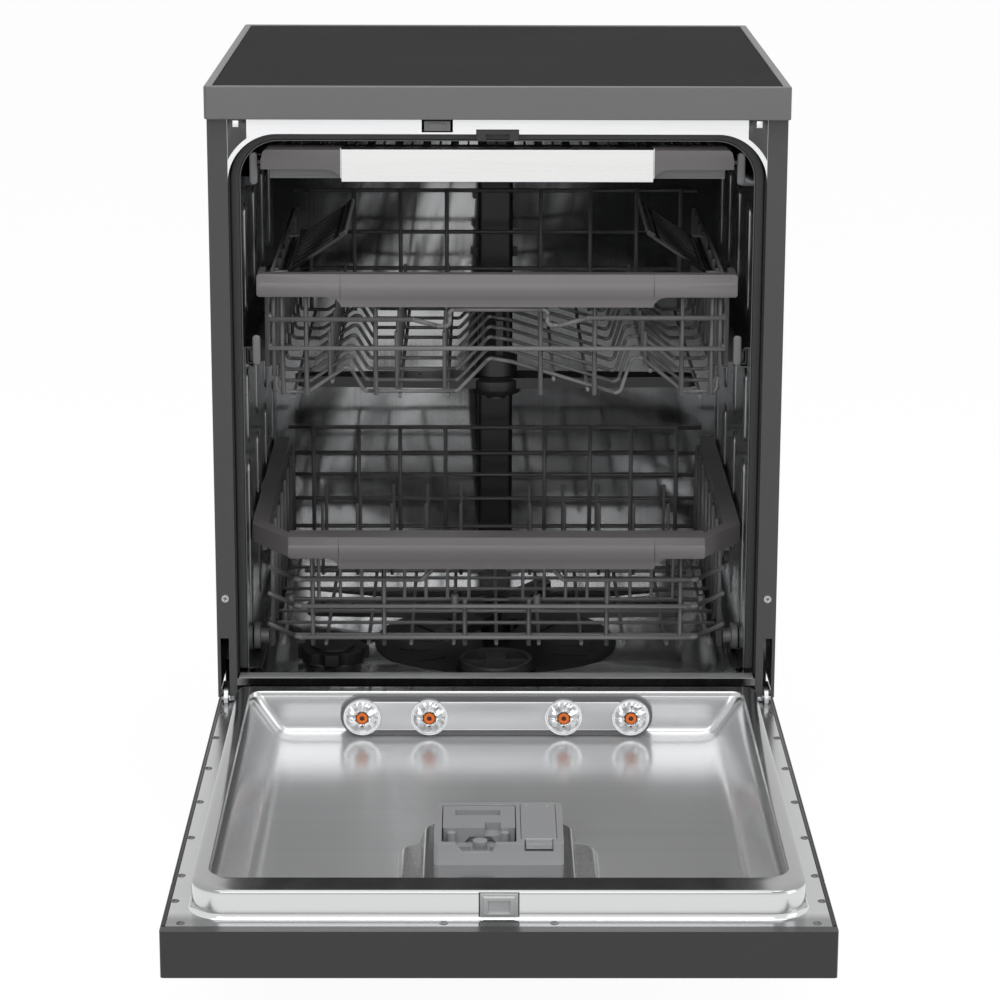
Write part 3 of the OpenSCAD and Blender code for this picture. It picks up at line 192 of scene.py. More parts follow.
def made_of(name, base, second, rough, scale=300, stretch=(1, 1, 1), relief=0.15, depth=0.0002,
            **sockets):
    """A finish whose colour and roughness vary between two values, with a fine relief."""
    material = bpy.data.materials.new(name)
    nodes, links = plain_nodes(material)
    out, shader = nodes.new("ShaderNodeOutputMaterial"), nodes.new("ShaderNodeBsdfPrincipled")
    place, map_to = nodes.new("ShaderNodeTexCoord"), nodes.new("ShaderNodeMapping")
    map_to.inputs["Scale"].default_value = stretch
    grain = nodes.new("ShaderNodeGroup")
    grain.node_tree = surface_grain
    for socket, value in (("Scale", scale), ("Base", (*base, 1)), ("Second", (*second, 1)),
                          ("Rough low", rough[0]), ("Rough high", rough[1]),
                          ("Relief", relief), ("Depth", depth)):
        grain.inputs[socket].default_value = value
    for socket, value in sockets.items():
        shader.inputs[socket.replace("_", " ")].default_value = value
    links.new(place.outputs["Object"], map_to.inputs["Vector"])
    links.new(map_to.outputs[0], grain.inputs["Vector"])
    links.new(grain.outputs["Color"], shader.inputs["Base Color"])
    links.new(grain.outputs["Roughness"], shader.inputs["Roughness"])
    links.new(grain.outputs["Normal"], shader.inputs["Normal"])
    links.new(shader.outputs[0], out.inputs[0])
    return material


body_of_node = {n: b for b, names in frame["record"]["behaviour"]["bodies"].items() for n in names}


def only(obj):
    bpy.ops.object.select_all(action="DESELECT")
    obj.select_set(True)
    bpy.context.view_layer.objects.active = obj


def finished(node, material, bevel=0.0, edge_angle=35, smooth_angle=40):
    """A CAD node's solid, merged, with its edges rounded and its finish on, in the node's place."""
    shell = bpy.data.objects.new(node + "_made", frame["nodes"][node].data.copy())
    bpy.context.collection.objects.link(shell)
    only(shell)
    bpy.ops.object.mode_set(mode="EDIT")
    bpy.ops.mesh.select_all(action="SELECT")
    bpy.ops.mesh.remove_doubles(threshold=0.00001)
    if bevel:
        bpy.ops.mesh.dissolve_limited(angle_limit=radians(1.5))
    bpy.ops.object.mode_set(mode="OBJECT")
    if bevel:
        rounding = shell.modifiers.new("rounding", "BEVEL")
        rounding.width = bevel
        rounding.segments = 2
        rounding.limit_method = "ANGLE"
        rounding.angle_limit = radians(edge_angle)
        rounding.use_clamp_overlap = True
        rounding.harden_normals = False
        bpy.ops.object.modifier_apply(modifier="rounding")
    bpy.ops.object.shade_smooth_by_angle(angle=radians(smooth_angle))
    if bevel:
        shell.modifiers.new("flat_faces", "WEIGHTED_NORMAL").keep_sharp = True
        bpy.ops.object.modifier_apply(modifier="flat_faces")
    shell.data.materials.clear()
    shell.data.materials.append(material)
    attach(shell, body_of_node[node])
    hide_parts(node)
    return shell


edge_plastic = made_of("worktop_edge_plastic", (0.135, 0.135, 0.135), (0.150, 0.150, 0.150),
                       rough=(0.42, 0.50), scale=800, relief=0.12, depth=0.0001)
laminate = made_of("worktop_laminate", (0.017, 0.017, 0.018), (0.024, 0.024, 0.025),
                   rough=(0.60, 0.70), scale=700, relief=0.30, depth=0.0003,
                   Specular_IOR_Level=0.02)
finished("worktop_frame", edge_plastic, bevel=0.0012)
finished("worktop_panel", laminate, bevel=0.001)

# ---------------------------------------------------------------------------------
# Side panels, plinth and rear panel: folded steel sheet
# The sides and plinth are powder-coated graphite grey, the rear panel is zinc-plated, and one
# countersunk screw on each front flange holds the tub's bracket.
graphite = made_of("graphite_paint", (0.048, 0.048, 0.050), (0.056, 0.056, 0.058),
                   rough=(0.38, 0.46), scale=900, relief=0.10, depth=0.0001)
zinc = made_of("zinc_plate", (0.40, 0.41, 0.42), (0.52, 0.53, 0.54), rough=(0.28, 0.42), scale=120,
               relief=0.1, Metallic=1.0)
finished("side_panels", graphite, bevel=0.0004)
finished("plinth", graphite, bevel=0.0004)
finished("rear_panel", zinc, bevel=0.0004)


def sharp_box(centre, size, name="cutter", turn=(0, 0, 0)):
    bpy.ops.object.select_all(action="DESELECT")
    bpy.ops.mesh.primitive_cube_add(size=1, location=centre, rotation=turn)
    box = bpy.context.object
    box.name = name
    box.scale = size
    bpy.ops.object.transform_apply(location=True, rotation=True, scale=True)
    return box


def round_bar(centre, radius, length, sides, name="cutter", turn=(pi / 2, 0, 0)):
    """A bar that lies along Y, unless turned otherwise."""
    bpy.ops.object.select_all(action="DESELECT")
    bpy.ops.mesh.primitive_cylinder_add(vertices=sides, radius=radius, depth=length,
                                        location=centre, rotation=turn)
    bar = bpy.context.object
    bar.name = name
    bpy.ops.object.transform_apply(location=True, rotation=True, scale=True)
    return bar


def cut_with(piece, cutter, operation="DIFFERENCE"):
    """Cuts the cutter out of the piece, or joins it on where the operation is UNION."""
    only(piece)
    cut = piece.modifiers.new("cut", "BOOLEAN")
    cut.object = cutter
    cut.operation = operation
    bpy.ops.object.modifier_apply(modifier="cut")
    bpy.data.objects.remove(cutter)


def round_edges(piece, width, angle=40):
    only(piece)
    soft = piece.modifiers.new("edges", "BEVEL")
    soft.width = width
    soft.segments = 2
    soft.limit_method = "ANGLE"
    soft.angle_limit = radians(angle)
    bpy.ops.object.modifier_apply(modifier="edges")
    bpy.ops.object.shade_smooth_by_angle(angle=radians(angle))


both_sides = ((-1, "left"), (1, "right"))
flange_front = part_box("side_panels")[0][1]
screw_x, screw_z, screw_length = 0.289, 0.301, 0.002
recess_size, recess_turn = (0.0046, 0.0012, 0.0009), 0.3
for side, word in both_sides:
    for part, radius, proud, material, slot in (
            ("cup", 0.0058, 0.0001, graphite, "graphite_paint"),
            ("head", 0.0040, 0.00025, zinc, "zinc_plated")):
        face_at = flange_front - proud
        screw = round_bar((side * screw_x, face_at + screw_length / 2, screw_z), radius,
                          screw_length, 32, "flange_screw_%s_%s" % (part, word))
        for turn in (recess_turn, recess_turn + pi / 2) if part == "head" else ():
            cut_with(screw, sharp_box((side * screw_x, face_at, screw_z), recess_size,
                                      turn=(0, turn, 0)))
        round_edges(screw, width=0.0003, angle=30)
        screw.data.materials.append(material)
        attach(screw, "cabinet")

# ---------------------------------------------------------------------------------
# Base and feet: one black moulding under the machine, on three screw feet
# The plinth hides them from the front.
black_moulding = made_of("black_moulding", (0.012, 0.012, 0.013), (0.022, 0.022, 0.023),
                         rough=(0.30, 0.42), scale=600, relief=0.15, depth=0.0001)
for node in ("base_tray", "front_left_foot", "front_right_foot", "rear_foot"):
    finished(node, black_moulding, bevel=0.0006)

# ---------------------------------------------------------------------------------
# Front rail, latch and pusher: bright pressed strip over the mouth
# The latch's jaw takes the strike, and the grey pusher opens the door for drying. A painted
# bracket with a bright tab ties each end of the rail to the side flange.
zinc_bright = made_of("steel_strip", (0.74, 0.745, 0.75), (0.80, 0.80, 0.81), rough=(0.28, 0.38),
                      scale=60, stretch=(0.2, 8, 8), relief=0.05, depth=0.0001, Metallic=1.0)
grey_moulding = made_of("grey_moulding", (0.17, 0.172, 0.176), (0.195, 0.197, 0.20),
                        rough=(0.34, 0.44), scale=800, relief=0.12, depth=0.0001)
finished("top_front_rail", zinc_bright, bevel=0.0003)
finished("door_latch", black_moulding, bevel=0.0006)
finished("door_pusher", grey_moulding, bevel=0.0005)

rail_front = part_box("top_front_rail")[0][1]
bracket_x, bracket_z, tab_x, tab_z = 0.26775, 0.7925, 0.2690, 0.8095
corner_x, corner_z, corner_radius = 0.224, 0.745, 0.060
for side, word in both_sides:
    bracket = sharp_box((side * bracket_x, rail_front - 0.0006, bracket_z),
                        (0.0195, 0.0010, 0.045), "corner_bracket_" + word)
    cut_with(bracket, round_bar((side * corner_x, rail_front, corner_z), corner_radius, 0.02, 128))
    cut_with(bracket, sharp_box((side * tab_x, rail_front, tab_z), (0.0062, 0.01, 0.0070)))
    round_edges(bracket, width=0.0002)
    bracket.data.materials.append(graphite)
    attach(bracket, "cabinet")
    tab = sharp_box((side * tab_x, rail_front - 0.0002, tab_z), (0.0074, 0.0003, 0.0080),
                    "corner_tab_" + word)
    round_edges(tab, width=0.0001)
    tab.data.materials.append(zinc_bright)
    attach(tab, "cabinet")

# ---------------------------------------------------------------------------------
# Tub: thin bright stainless sheet, with a rubber seal round its mouth
# Pressed beads stiffen the walls, a brushed strip covers the floor's front lip, and the racks'
# dark rails carry grey stops and black runner ends.
steel_tub = made_of("steel_tub", (0.42, 0.425, 0.43), (0.54, 0.545, 0.55), rough=(0.12, 0.22),
                    scale=50, stretch=(9, 9, 0.12), relief=0.08, depth=0.00015, Metallic=0.95)


def node_of(material, kind):
    return next(node for node in material.node_tree.nodes if node.type == kind)


def ramp_along(material, axis, start, end, low, high):
    """A value that goes from low to high between two places along one axis of the piece."""
    nodes, links = material.node_tree.nodes, material.node_tree.links
    place, ramp = nodes.new("ShaderNodeSeparateXYZ"), nodes.new("ShaderNodeMapRange")
    for socket, value in (("From Min", start), ("From Max", end),
                          ("To Min", low), ("To Max", high)):
        ramp.inputs[socket].default_value = value
    links.new(node_of(material, "TEX_COORD").outputs["Object"], place.inputs[0])
    links.new(place.outputs[axis], ramp.inputs["Value"])
    return ramp.outputs[0]


def tone_colour(material, tone):
    """Multiplies the grain's colour by a tone."""
    toned, links = material.node_tree.nodes.new("ShaderNodeVectorMath"), material.node_tree.links
    toned.operation = "SCALE"
    links.new(node_of(material, "GROUP").outputs["Color"], toned.inputs[0])
    links.new(tone, toned.inputs["Scale"])
    links.new(toned.outputs[0], node_of(material, "BSDF_PRINCIPLED").inputs["Base Color"])


# The tub's steel is painted darker along the cut edge round the mouth than on the walls behind it:
# painted shade from the gasket.
tone_colour(steel_tub, ramp_along(steel_tub, "Y", start=0.0604, end=0.0612, low=0.22, high=1.0))
gasket_rubber = made_of("gasket_rubber", (0.022, 0.023, 0.023), (0.034, 0.035, 0.035),
                        rough=(0.42, 0.55), scale=400, relief=0.2, depth=0.0002)
rail_steel = made_of("rail_steel", (0.055, 0.056, 0.058), (0.085, 0.087, 0.09), rough=(0.24, 0.36),
                     scale=90, stretch=(6, 0.2, 6), relief=0.1, depth=0.0001, Metallic=1.0)
for node in ("tub_side_walls", "tub_roof", "tub_back_wall", "tub_floor"):
    finished(node, steel_tub)
finished("door_gasket", gasket_rubber, bevel=0.002)
finished("rack_rails", rail_steel)

sill_steel = made_of("sill_steel", (0.50, 0.505, 0.51), (0.62, 0.625, 0.63), rough=(0.26, 0.40),
                     scale=16, stretch=(1, 9, 9), relief=0.12, depth=0.0006, Metallic=0.62)
sill_low, sill_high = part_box("tub_floor")
sill_depth, sill_setback, sill_ends = 0.0186, 0.0001, 0.004
sill = sharp_box((0, sill_low[1] + sill_depth / 2 + sill_setback, sill_high[2] + 0.0001),
                 (2 * sill_high[0] - sill_ends, sill_depth, 0.0006), "tub_sill_strip")
round_edges(sill, width=0.00025)
sill.data.materials.append(sill_steel)
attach(sill, "cabinet")


def pressed_bead(name, centre, size, material, body):
    """A plate with round ends and a soft shoulder all round."""
    bead = sharp_box(centre, size, name)
    thick = min(range(3), key=lambda i: size[i])
    wide = sorted(size)[1]
    end_round, shoulder_round, crease = wide * 0.42, size[thick] * 0.48, radians(50)
    bpy.ops.object.mode_set(mode="EDIT")
    bpy.ops.mesh.select_all(action="DESELECT")
    bpy.ops.mesh.select_mode(type="EDGE")
    bpy.ops.object.mode_set(mode="OBJECT")
    for edge in bead.data.edges:
        a, b = (bead.data.vertices[v].co for v in edge.vertices)
        edge.select = abs((a - b)[thick]) > 0.5 * size[thick]
    bpy.ops.object.mode_set(mode="EDIT")
    bpy.ops.mesh.bevel(offset=end_round, segments=6, affect="EDGES")
    bpy.ops.object.mode_set(mode="OBJECT")
    fall = bead.modifiers.new("shoulder", "BEVEL")
    fall.width = shoulder_round
    fall.segments = 3
    fall.limit_method = "ANGLE"
    fall.angle_limit = crease
    bpy.ops.object.modifier_apply(modifier="shoulder")
    bpy.ops.object.shade_smooth_by_angle(angle=crease)
    bead.data.materials.append(material)
    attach(bead, body)


# The beads are the tub's own steel in a darker copy, so that they shine less than the walls:
# painted shade.
bead_steel_shaded = made_of("steel_tub_beads_painted_shade", (0.22, 0.223, 0.227), (0.30, 0.303, 0.307),
                     rough=(0.20, 0.32), scale=50, stretch=(9, 9, 0.12), relief=0.08, depth=0.00015,
                     Metallic=0.95)
bead_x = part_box("tub_side_walls")[1][0] - 0.001
bead_thick, bead_wide = 0.0026, 0.030
bead_rows = (("", 0.495, 0.082), ("_low", 0.340, 0.190), ("_high", 0.655, 0.120))
for side, word in both_sides:
    for number, bead_y in enumerate((0.115, 0.245, 0.375, 0.490)):
        for row, bead_z, tall in bead_rows:
            pressed_bead("tub_bead%s_%s_%d" % (row, word, number), (side * bead_x, bead_y, bead_z),
                         (bead_thick, bead_wide, tall), bead_steel_shaded, "cabinet")

rail_end, runner_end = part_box("rack_rails")[0][1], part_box("upper_runners")[0][1]
stop_x, cap_x, slide_x, runner_z = 0.2540, 0.2612, 0.2566, 0.5560
for side, word in both_sides:
    for body, stop_z, tall in (("upper_rack", 0.5645, 0.032), ("cutlery_drawer", 0.7580, 0.034)):
        pressed_bead("runner_stop_%s_%s" % (body, word), (side * stop_x, rail_end - 0.0035, stop_z),
                     (0.0085, 0.0036, tall), grey_moulding, body)
    cap = sharp_box((side * cap_x, runner_end - 0.0001, runner_z), (0.0074, 0.0012, 0.0170),
                    "runner_cap_" + word)
    cut_with(cap, sharp_box((side * slide_x, runner_end, runner_z), (0.0130, 0.006, 0.0132)))
    round_edges(cap, width=0.0003)
    cap.data.materials.append(black_moulding)
    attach(cap, "upper_slides")

# ---------------------------------------------------------------------------------
# Water system in the tub: upright duct, pipe under the upper rack, three arms
# All are black mouldings; the arms are softened so that their long edges catch the light.
for node in ("water_duct", "spray_feed", "top_spray_arm", "middle_spray_arm", "lower_spray_arm"):
    finished(node, black_moulding, bevel=0.001)

# ---------------------------------------------------------------------------------
# Sump, filters and salt cap: black mouldings in the tub's floor
# The flat filter is a fine black mesh, and the cup, a little paler, lifts out by its grip.
black_matt = made_of("black_matt_plastic", (0.007, 0.007, 0.0075), (0.012, 0.012, 0.0125),
                     rough=(0.42, 0.52), scale=700, relief=0.2, depth=0.0001,
                     Specular_IOR_Level=0.3)
cup_plastic = made_of("filter_cup_plastic", (0.040, 0.040, 0.042), (0.055, 0.055, 0.057),
                      rough=(0.30, 0.40), scale=700, relief=0.12, depth=0.0001)
for node in ("sump_housing", "flat_filter", "salt_cap"):
    finished(node, black_matt, bevel=0.0008)
finished("filter_cup", cup_plastic, bevel=0.0010)

# ---------------------------------------------------------------------------------
# Machinery under the tub: pumps, steam generator, softener and inlet valve
# They sit on the base's ribs, out of sight, beside the door's zinc-plated springs and arms.
casing = made_of("pump_casing", (0.30, 0.30, 0.31), (0.40, 0.40, 0.41), rough=(0.35, 0.5),
                 scale=200, relief=0.2, Metallic=1.0)
clear = made_of("clear_plastic", (0.72, 0.75, 0.77), (0.80, 0.82, 0.84), rough=(0.08, 0.16),
                scale=300, relief=0.05, Transmission_Weight=0.6, IOR=1.46)
for node, material in (("circulation_pump", casing), ("steam_generator", casing),
                       ("drain_pump", grey_moulding), ("water_softener", clear),
                       ("inlet_valve", clear)):
    finished(node, material, bevel=0.001)
finished("hinge_springs", zinc)
finished("hinge_arms", zinc, bevel=0.0003)

# ---------------------------------------------------------------------------------
# Door shell: graphite outer panel and the control fascia with its pocket handle
# The fascia's long edges are rounded, and the power button sits in its outer face.
grip = made_of("grip_plastic", (0.150, 0.138, 0.142), (0.172, 0.160, 0.164), rough=(0.36, 0.44),
               scale=900, relief=0.10, depth=0.0001)
fascia_coating = made_of("fascia_coating", (0.034, 0.034, 0.036), (0.039, 0.039, 0.041),
                         rough=(0.36, 0.44), scale=900, relief=0.08, depth=0.0001,
                         Specular_IOR_Level=0.35)
finished("door_outer_panel", graphite, bevel=0.0004)
finished("door_fascia", fascia_coating, bevel=0.0012)
finished("power_button", grip, bevel=0.0004)

# ---------------------------------------------------------------------------------
# Door liner: one pressing of satin stainless sheet
# A raised rim surrounds a deep pan, the flange is screwed to the door's edge, and a
# sloped plinth in the pan carries the dispenser.
steel_rim = made_of("steel_rim", (0.67, 0.675, 0.68), (0.70, 0.705, 0.71), rough=(0.11, 0.15),
                    scale=60, stretch=(0.08, 12, 12), relief=0.01, depth=0.0001, Metallic=0.90)
steel_flange = made_of("steel_flange", (0.58, 0.585, 0.59), (0.64, 0.645, 0.65), rough=(0.20, 0.26),
                       scale=60, stretch=(0.2, 6, 6), relief=0.02, depth=0.0001, Metallic=0.9)
steel_across = made_of("steel_brushed_across", (0.52, 0.525, 0.53), (0.56, 0.565, 0.57),
                       rough=(0.18, 0.23), scale=60, stretch=(0.08, 12, 12), relief=0.012,
                       depth=0.0001)
# Painted shade darkens the rim's top and the flange's front end, and painted light makes the
# pan's floor paler than its walls, where the floor is also less metallic.
tone_colour(steel_rim, ramp_along(steel_rim, "Z", start=0.2080, end=0.2100, low=1.0, high=0.50))
# Painted shade: the flange is darker towards its front end.
tone_colour(steel_flange,
            ramp_along(steel_flange, "Y", start=-0.560, end=-0.545, low=0.42, high=0.82))
steel_across.node_tree.links.new(
    ramp_along(steel_across, "Z", start=0.166, end=0.184, low=0.55, high=0.90),
    node_of(steel_across, "BSDF_PRINCIPLED").inputs["Metallic"])
# Painted light: the pan's floor is paler than its walls.
tone_colour(steel_across,
            ramp_along(steel_across, "Z", start=0.1655, end=0.170, low=1.16, high=0.97))


def pressed_form(name, rings, front_corner, back_corner, centre_x=0.0, capped=True):
    """A face with round corners, drawn through rings of (height, half width, front, back)."""
    bpy.ops.object.select_all(action="DESELECT")
    z, half, front, back = rings[0]
    bpy.ops.mesh.primitive_plane_add(size=1, location=(centre_x, (front + back) / 2, z))
    form = bpy.context.object
    form.name = name
    form.scale = (2 * half, back - front, 1)
    bpy.ops.object.transform_apply(location=True, rotation=True, scale=True)
    for end, corner in ((front, front_corner), (back, back_corner)):
        bpy.ops.object.mode_set(mode="EDIT")
        bpy.ops.mesh.select_mode(type="VERT")
        bpy.ops.mesh.select_all(action="DESELECT")
        bpy.ops.object.mode_set(mode="OBJECT")
        for vertex in form.data.vertices:
            vertex.select = abs(vertex.co.y - end) < 0.0001
        bpy.ops.object.mode_set(mode="EDIT")
        bpy.ops.mesh.bevel(offset=corner, segments=10, affect="VERTICES")
        bpy.ops.object.mode_set(mode="OBJECT")
    bpy.ops.object.mode_set(mode="EDIT")
    bpy.ops.mesh.select_mode(type="FACE")
    bpy.ops.mesh.select_all(action="SELECT")
    for next_z, next_half, next_front, next_back in rings[1:]:
        shift = (next_front + next_back - front - back) / 2
        bpy.ops.mesh.extrude_region_move(TRANSFORM_OT_translate={"value": (0, shift, next_z - z)})
        bpy.ops.transform.resize(
            value=(next_half / half, (next_back - next_front) / (back - front), 1),
            center_override=(centre_x, (next_front + next_back) / 2, next_z))
        z, half, front, back = next_z, next_half, next_front, next_back
    bpy.ops.mesh.select_all(action="DESELECT")
    bpy.ops.object.mode_set(mode="OBJECT")
    if not capped:
        for face in form.data.polygons:
            face.select = all(abs(form.data.vertices[v].co.z - rings[0][0]) < 0.00001
                              for v in face.vertices)
        bpy.ops.object.mode_set(mode="EDIT")
        bpy.ops.mesh.delete(type="ONLY_FACE")
        bpy.ops.object.mode_set(mode="OBJECT")
    bpy.ops.object.mode_set(mode="EDIT")
    bpy.ops.mesh.select_all(action="SELECT")
    bpy.ops.mesh.normals_make_consistent(inside=False)
    bpy.ops.object.mode_set(mode="OBJECT")
    return form


def sheet_wall(form, thickness, outward=False):
    only(form)
    wall = form.modifiers.new("sheet", "SOLIDIFY")
    wall.thickness = thickness
    wall.offset = 1 if outward else -1
    bpy.ops.object.modifier_apply(modifier="sheet")


def mm_rings(rows, ahead=17.5):
    """Rings in millimetres, measured from the worktop's front edge, as rings in the frame."""
    return [(z / 1000, half / 1000, (front + ahead) / 1000, (back + ahead) / 1000)
            for z, half, front, back in rows]


sheet = 0.001
pan_corners = {"front_corner": 0.024, "back_corner": 0.013}
liner_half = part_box("door_liner")[1][0]
liner = pressed_form("door_liner_pressing", mm_rings([
    (184.4, 280, -580.6, -5), (185.05, 278.2, -579, -6.4), (186.0, 277.3, -578.2, -7.2),
    (187.6, 276.6, -577.5, -7.7), (190.0, 276.1, -577.1, -8), (203, 275.8, -576.9, -8),
    (209.4, 275.2, -576.7, -8.4), (210.8, 273.6, -576.2, -9.2), (211.5, 270.6, -575.5, -10.3),
    (211.9, 267, -574.6, -11.6), (212, 263.6, -573.2, -13)]),
    front_corner=0.034, back_corner=0.010, capped=False)
sheet_wall(liner, sheet)
cut_with(liner, pressed_form("mouth", mm_rings([
    (205, 261.9, -545.9, -27.1), (220, 261.9, -545.9, -27.1)]), **pan_corners))
pan = pressed_form("pan_pressing", mm_rings([
    (212, 262, -546, -27), (211.6, 261.3, -545.3, -27.5), (210.8, 261, -545, -27.8),
    (207.6, 260.6, -544.6, -28), (206.9, 260.2, -544.3, -28.1), (206.3, 258.8, -543.2, -28.3),
    (196, 251.8, -537.4, -28.5), (186, 245.0, -532, -28.6), (176, 238.2, -526.4, -28.9),
    (171, 234.4, -523.2, -29.6), (167.6, 230.6, -520, -31), (165.4, 225.5, -515.4, -33.8),
    (164.3, 219, -509, -38.5), (164, 211, -501, -45)]), **pan_corners, capped=False)
sheet_wall(pan, sheet, outward=True)
flange_y, flange_z, flange_long, flange_inset = -0.248, 0.1845, 0.655, 0.006
slot_x, slot_y = 0.28975, 0.036
flange = sharp_box((0, flange_y, flange_z), (2 * liner_half - flange_inset, flange_long, sheet),
                   "flange")
cut_with(flange, pressed_form("opening", mm_rings([
    (180, 278, -579, -6.6), (190, 278, -579, -6.6)]), front_corner=0.036, back_corner=0.012))
for side in (-1, 1):
    cut_with(flange, sharp_box((side * slot_x, slot_y, flange_z), (0.0065, 0.027, 0.01)))
liner.data.materials.append(steel_rim)
pan.data.materials.append(steel_across)
flange.data.materials.append(steel_flange)
only(liner)
pan.select_set(True)
flange.select_set(True)
bpy.ops.object.join()
bpy.ops.object.shade_smooth_by_angle(angle=radians(40))
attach(liner, "door")
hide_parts("door_liner")

plinth_x = 0.0005
plinth = pressed_form("dispenser_plinth", mm_rings([
    (163.0, 77.6, -560, -327), (164.2, 76.6, -560, -328), (166, 75.8, -560, -328.8),
    (175, 72.6, -560, -331), (180.4, 70.9, -560, -332.6), (182.4, 69.6, -560, -333.8),
    (183.4, 67.6, -560, -335.4), (183.6, 64, -560, -337.4)]),
    front_corner=0.0005, back_corner=0.018, centre_x=plinth_x)
cut_with(plinth, pressed_form("plinth_shoulder", mm_rings([
    (163.0, 96, -560, -352), (164.2, 94.8, -560, -353), (165.6, 93.8, -560, -354),
    (169.4, 91.8, -560, -357), (171.2, 90.4, -560, -359), (172.2, 87.6, -560, -362),
    (172.4, 82, -560, -366)]), front_corner=0.0005, back_corner=0.016, centre_x=plinth_x), "UNION")
plinth_front_cut = sharp_box((plinth_x, -0.5685, 0.180), (0.3, 0.08, 0.06))
cut_with(plinth, plinth_front_cut)
bpy.ops.object.shade_smooth_by_angle(angle=radians(32))
plinth.data.materials.append(steel_across)
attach(plinth, "door")

# Black seal along both edges of the flange, between the liner and the outer panel
seal_x, seal_y, seal_z = liner_half - 0.0014, -0.2475, 0.1842
for side, word in both_sides:
    seal = sharp_box((side * seal_x, seal_y, seal_z), (0.0030, 0.650, 0.0012),
                     "door_edge_seal_" + word)
    round_edges(seal, width=0.0003)
    seal.data.materials.append(black_moulding)
    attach(seal, "door")
screw_dark = made_of("screw_dark", (0.10, 0.10, 0.11), (0.20, 0.20, 0.21), rough=(0.30, 0.42),
                     scale=900, relief=0.1, Metallic=1.0)
finished("door_screws", screw_dark)

# ---------------------------------------------------------------------------------
# Steam bar: a grey moulding across the pan's rear wall, with a silver plate and four nozzles
# Each nozzle is a faceted clear disc in a ring, round an orange core in a dark collar. The
# bore in the core and a small port below the core are dark pieces: painted shade for the holes.
bar_plastic = made_of("steam_bar_plastic", (0.105, 0.105, 0.11), (0.13, 0.13, 0.135),
                      rough=(0.30, 0.40), scale=700, relief=0.1, depth=0.0001)
bar_silver = made_of("steam_bar_silver", (0.50, 0.505, 0.51), (0.55, 0.555, 0.56),
                     rough=(0.30, 0.38), scale=300, stretch=(0.2, 6, 6), relief=0.05, depth=0.0001,
                     Metallic=0.5)
finished("steam_bar", bar_plastic, bevel=0.0012)
bar_face, plate_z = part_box("steam_bar")[0][1], 0.1882
plate = sharp_box((0, bar_face - 0.0002, plate_z), (0.290, 0.0012, 0.0296), "steam_bar_plate")
round_edges(plate, width=0.0004)
plate.data.materials.append(bar_silver)
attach(plate, "door")
# A bright steel frame peeks out round the plate: a painted highlight along the plate's edges.
highlight_trim = sharp_box((0, bar_face - 0.0001, plate_z), (0.2914, 0.0011, 0.0312), "steam_bar_highlight_trim")
round_edges(highlight_trim, width=0.0003)
highlight_trim.data.materials.append(zinc_bright)
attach(highlight_trim, "door")

facet_silver = made_of("nozzle_silver", (0.30, 0.305, 0.315), (0.74, 0.745, 0.75),
                       rough=(0.05, 0.16), scale=260, relief=0.03, Metallic=0.9)
ring_silver = made_of("nozzle_ring_silver", (0.66, 0.665, 0.67), (0.74, 0.745, 0.75),
                      rough=(0.10, 0.18), scale=300, relief=0.03, Metallic=0.6)
orange = made_of("nozzle_orange", (0.78, 0.15, 0.008), (0.86, 0.19, 0.012), rough=(0.30, 0.38),
                 scale=500, relief=0.05)
dark_collar_and_bore_shade = made_of("nozzle_collar_and_bore_shade", (0.035, 0.006, 0.004), (0.05, 0.008, 0.005), rough=(0.5, 0.6),
                    scale=500, relief=0.05)
facet_lift, facet_inner, facet_outer = 0.0016, 0.0068, 0.0160


def turned(name, profile, sides, centre, material, facets):
    """A piece turned about Y: profile is (radius, distance in front of the centre)."""
    bpy.ops.object.select_all(action="DESELECT")
    radius, ahead = profile[0]
    bpy.ops.mesh.primitive_circle_add(
        vertices=sides, radius=radius, fill_type="NGON", rotation=(pi / 2, 0, 0),
        location=(centre[0], centre[1] - ahead, centre[2]))
    piece = bpy.context.object
    piece.name = name
    bpy.ops.object.transform_apply(location=True, rotation=True, scale=True)
    bpy.ops.object.mode_set(mode="EDIT")
    bpy.ops.mesh.select_all(action="SELECT")
    for next_radius, next_ahead in profile[1:]:
        bpy.ops.mesh.extrude_region_move(
            TRANSFORM_OT_translate={"value": (0, ahead - next_ahead, 0)})
        bpy.ops.transform.resize(value=(next_radius / radius, 1, next_radius / radius),
                                 center_override=(centre[0], centre[1] - next_ahead, centre[2]))
        radius, ahead = next_radius, next_ahead
    bpy.ops.object.mode_set(mode="OBJECT")
    if facets:
        for vertex in piece.data.vertices:
            dx, dz = vertex.co.x - centre[0], vertex.co.z - centre[2]
            if facet_inner < hypot(dx, dz) < facet_outer:
                vertex.co.y -= facet_lift * (0.5 - 0.5 * cos(atan2(dz, dx) * facets))
    bpy.ops.object.mode_set(mode="EDIT")
    bpy.ops.mesh.select_all(action="SELECT")
    bpy.ops.mesh.normals_make_consistent(inside=False)
    bpy.ops.object.mode_set(mode="OBJECT")
    piece.data.materials.append(material)
    return piece


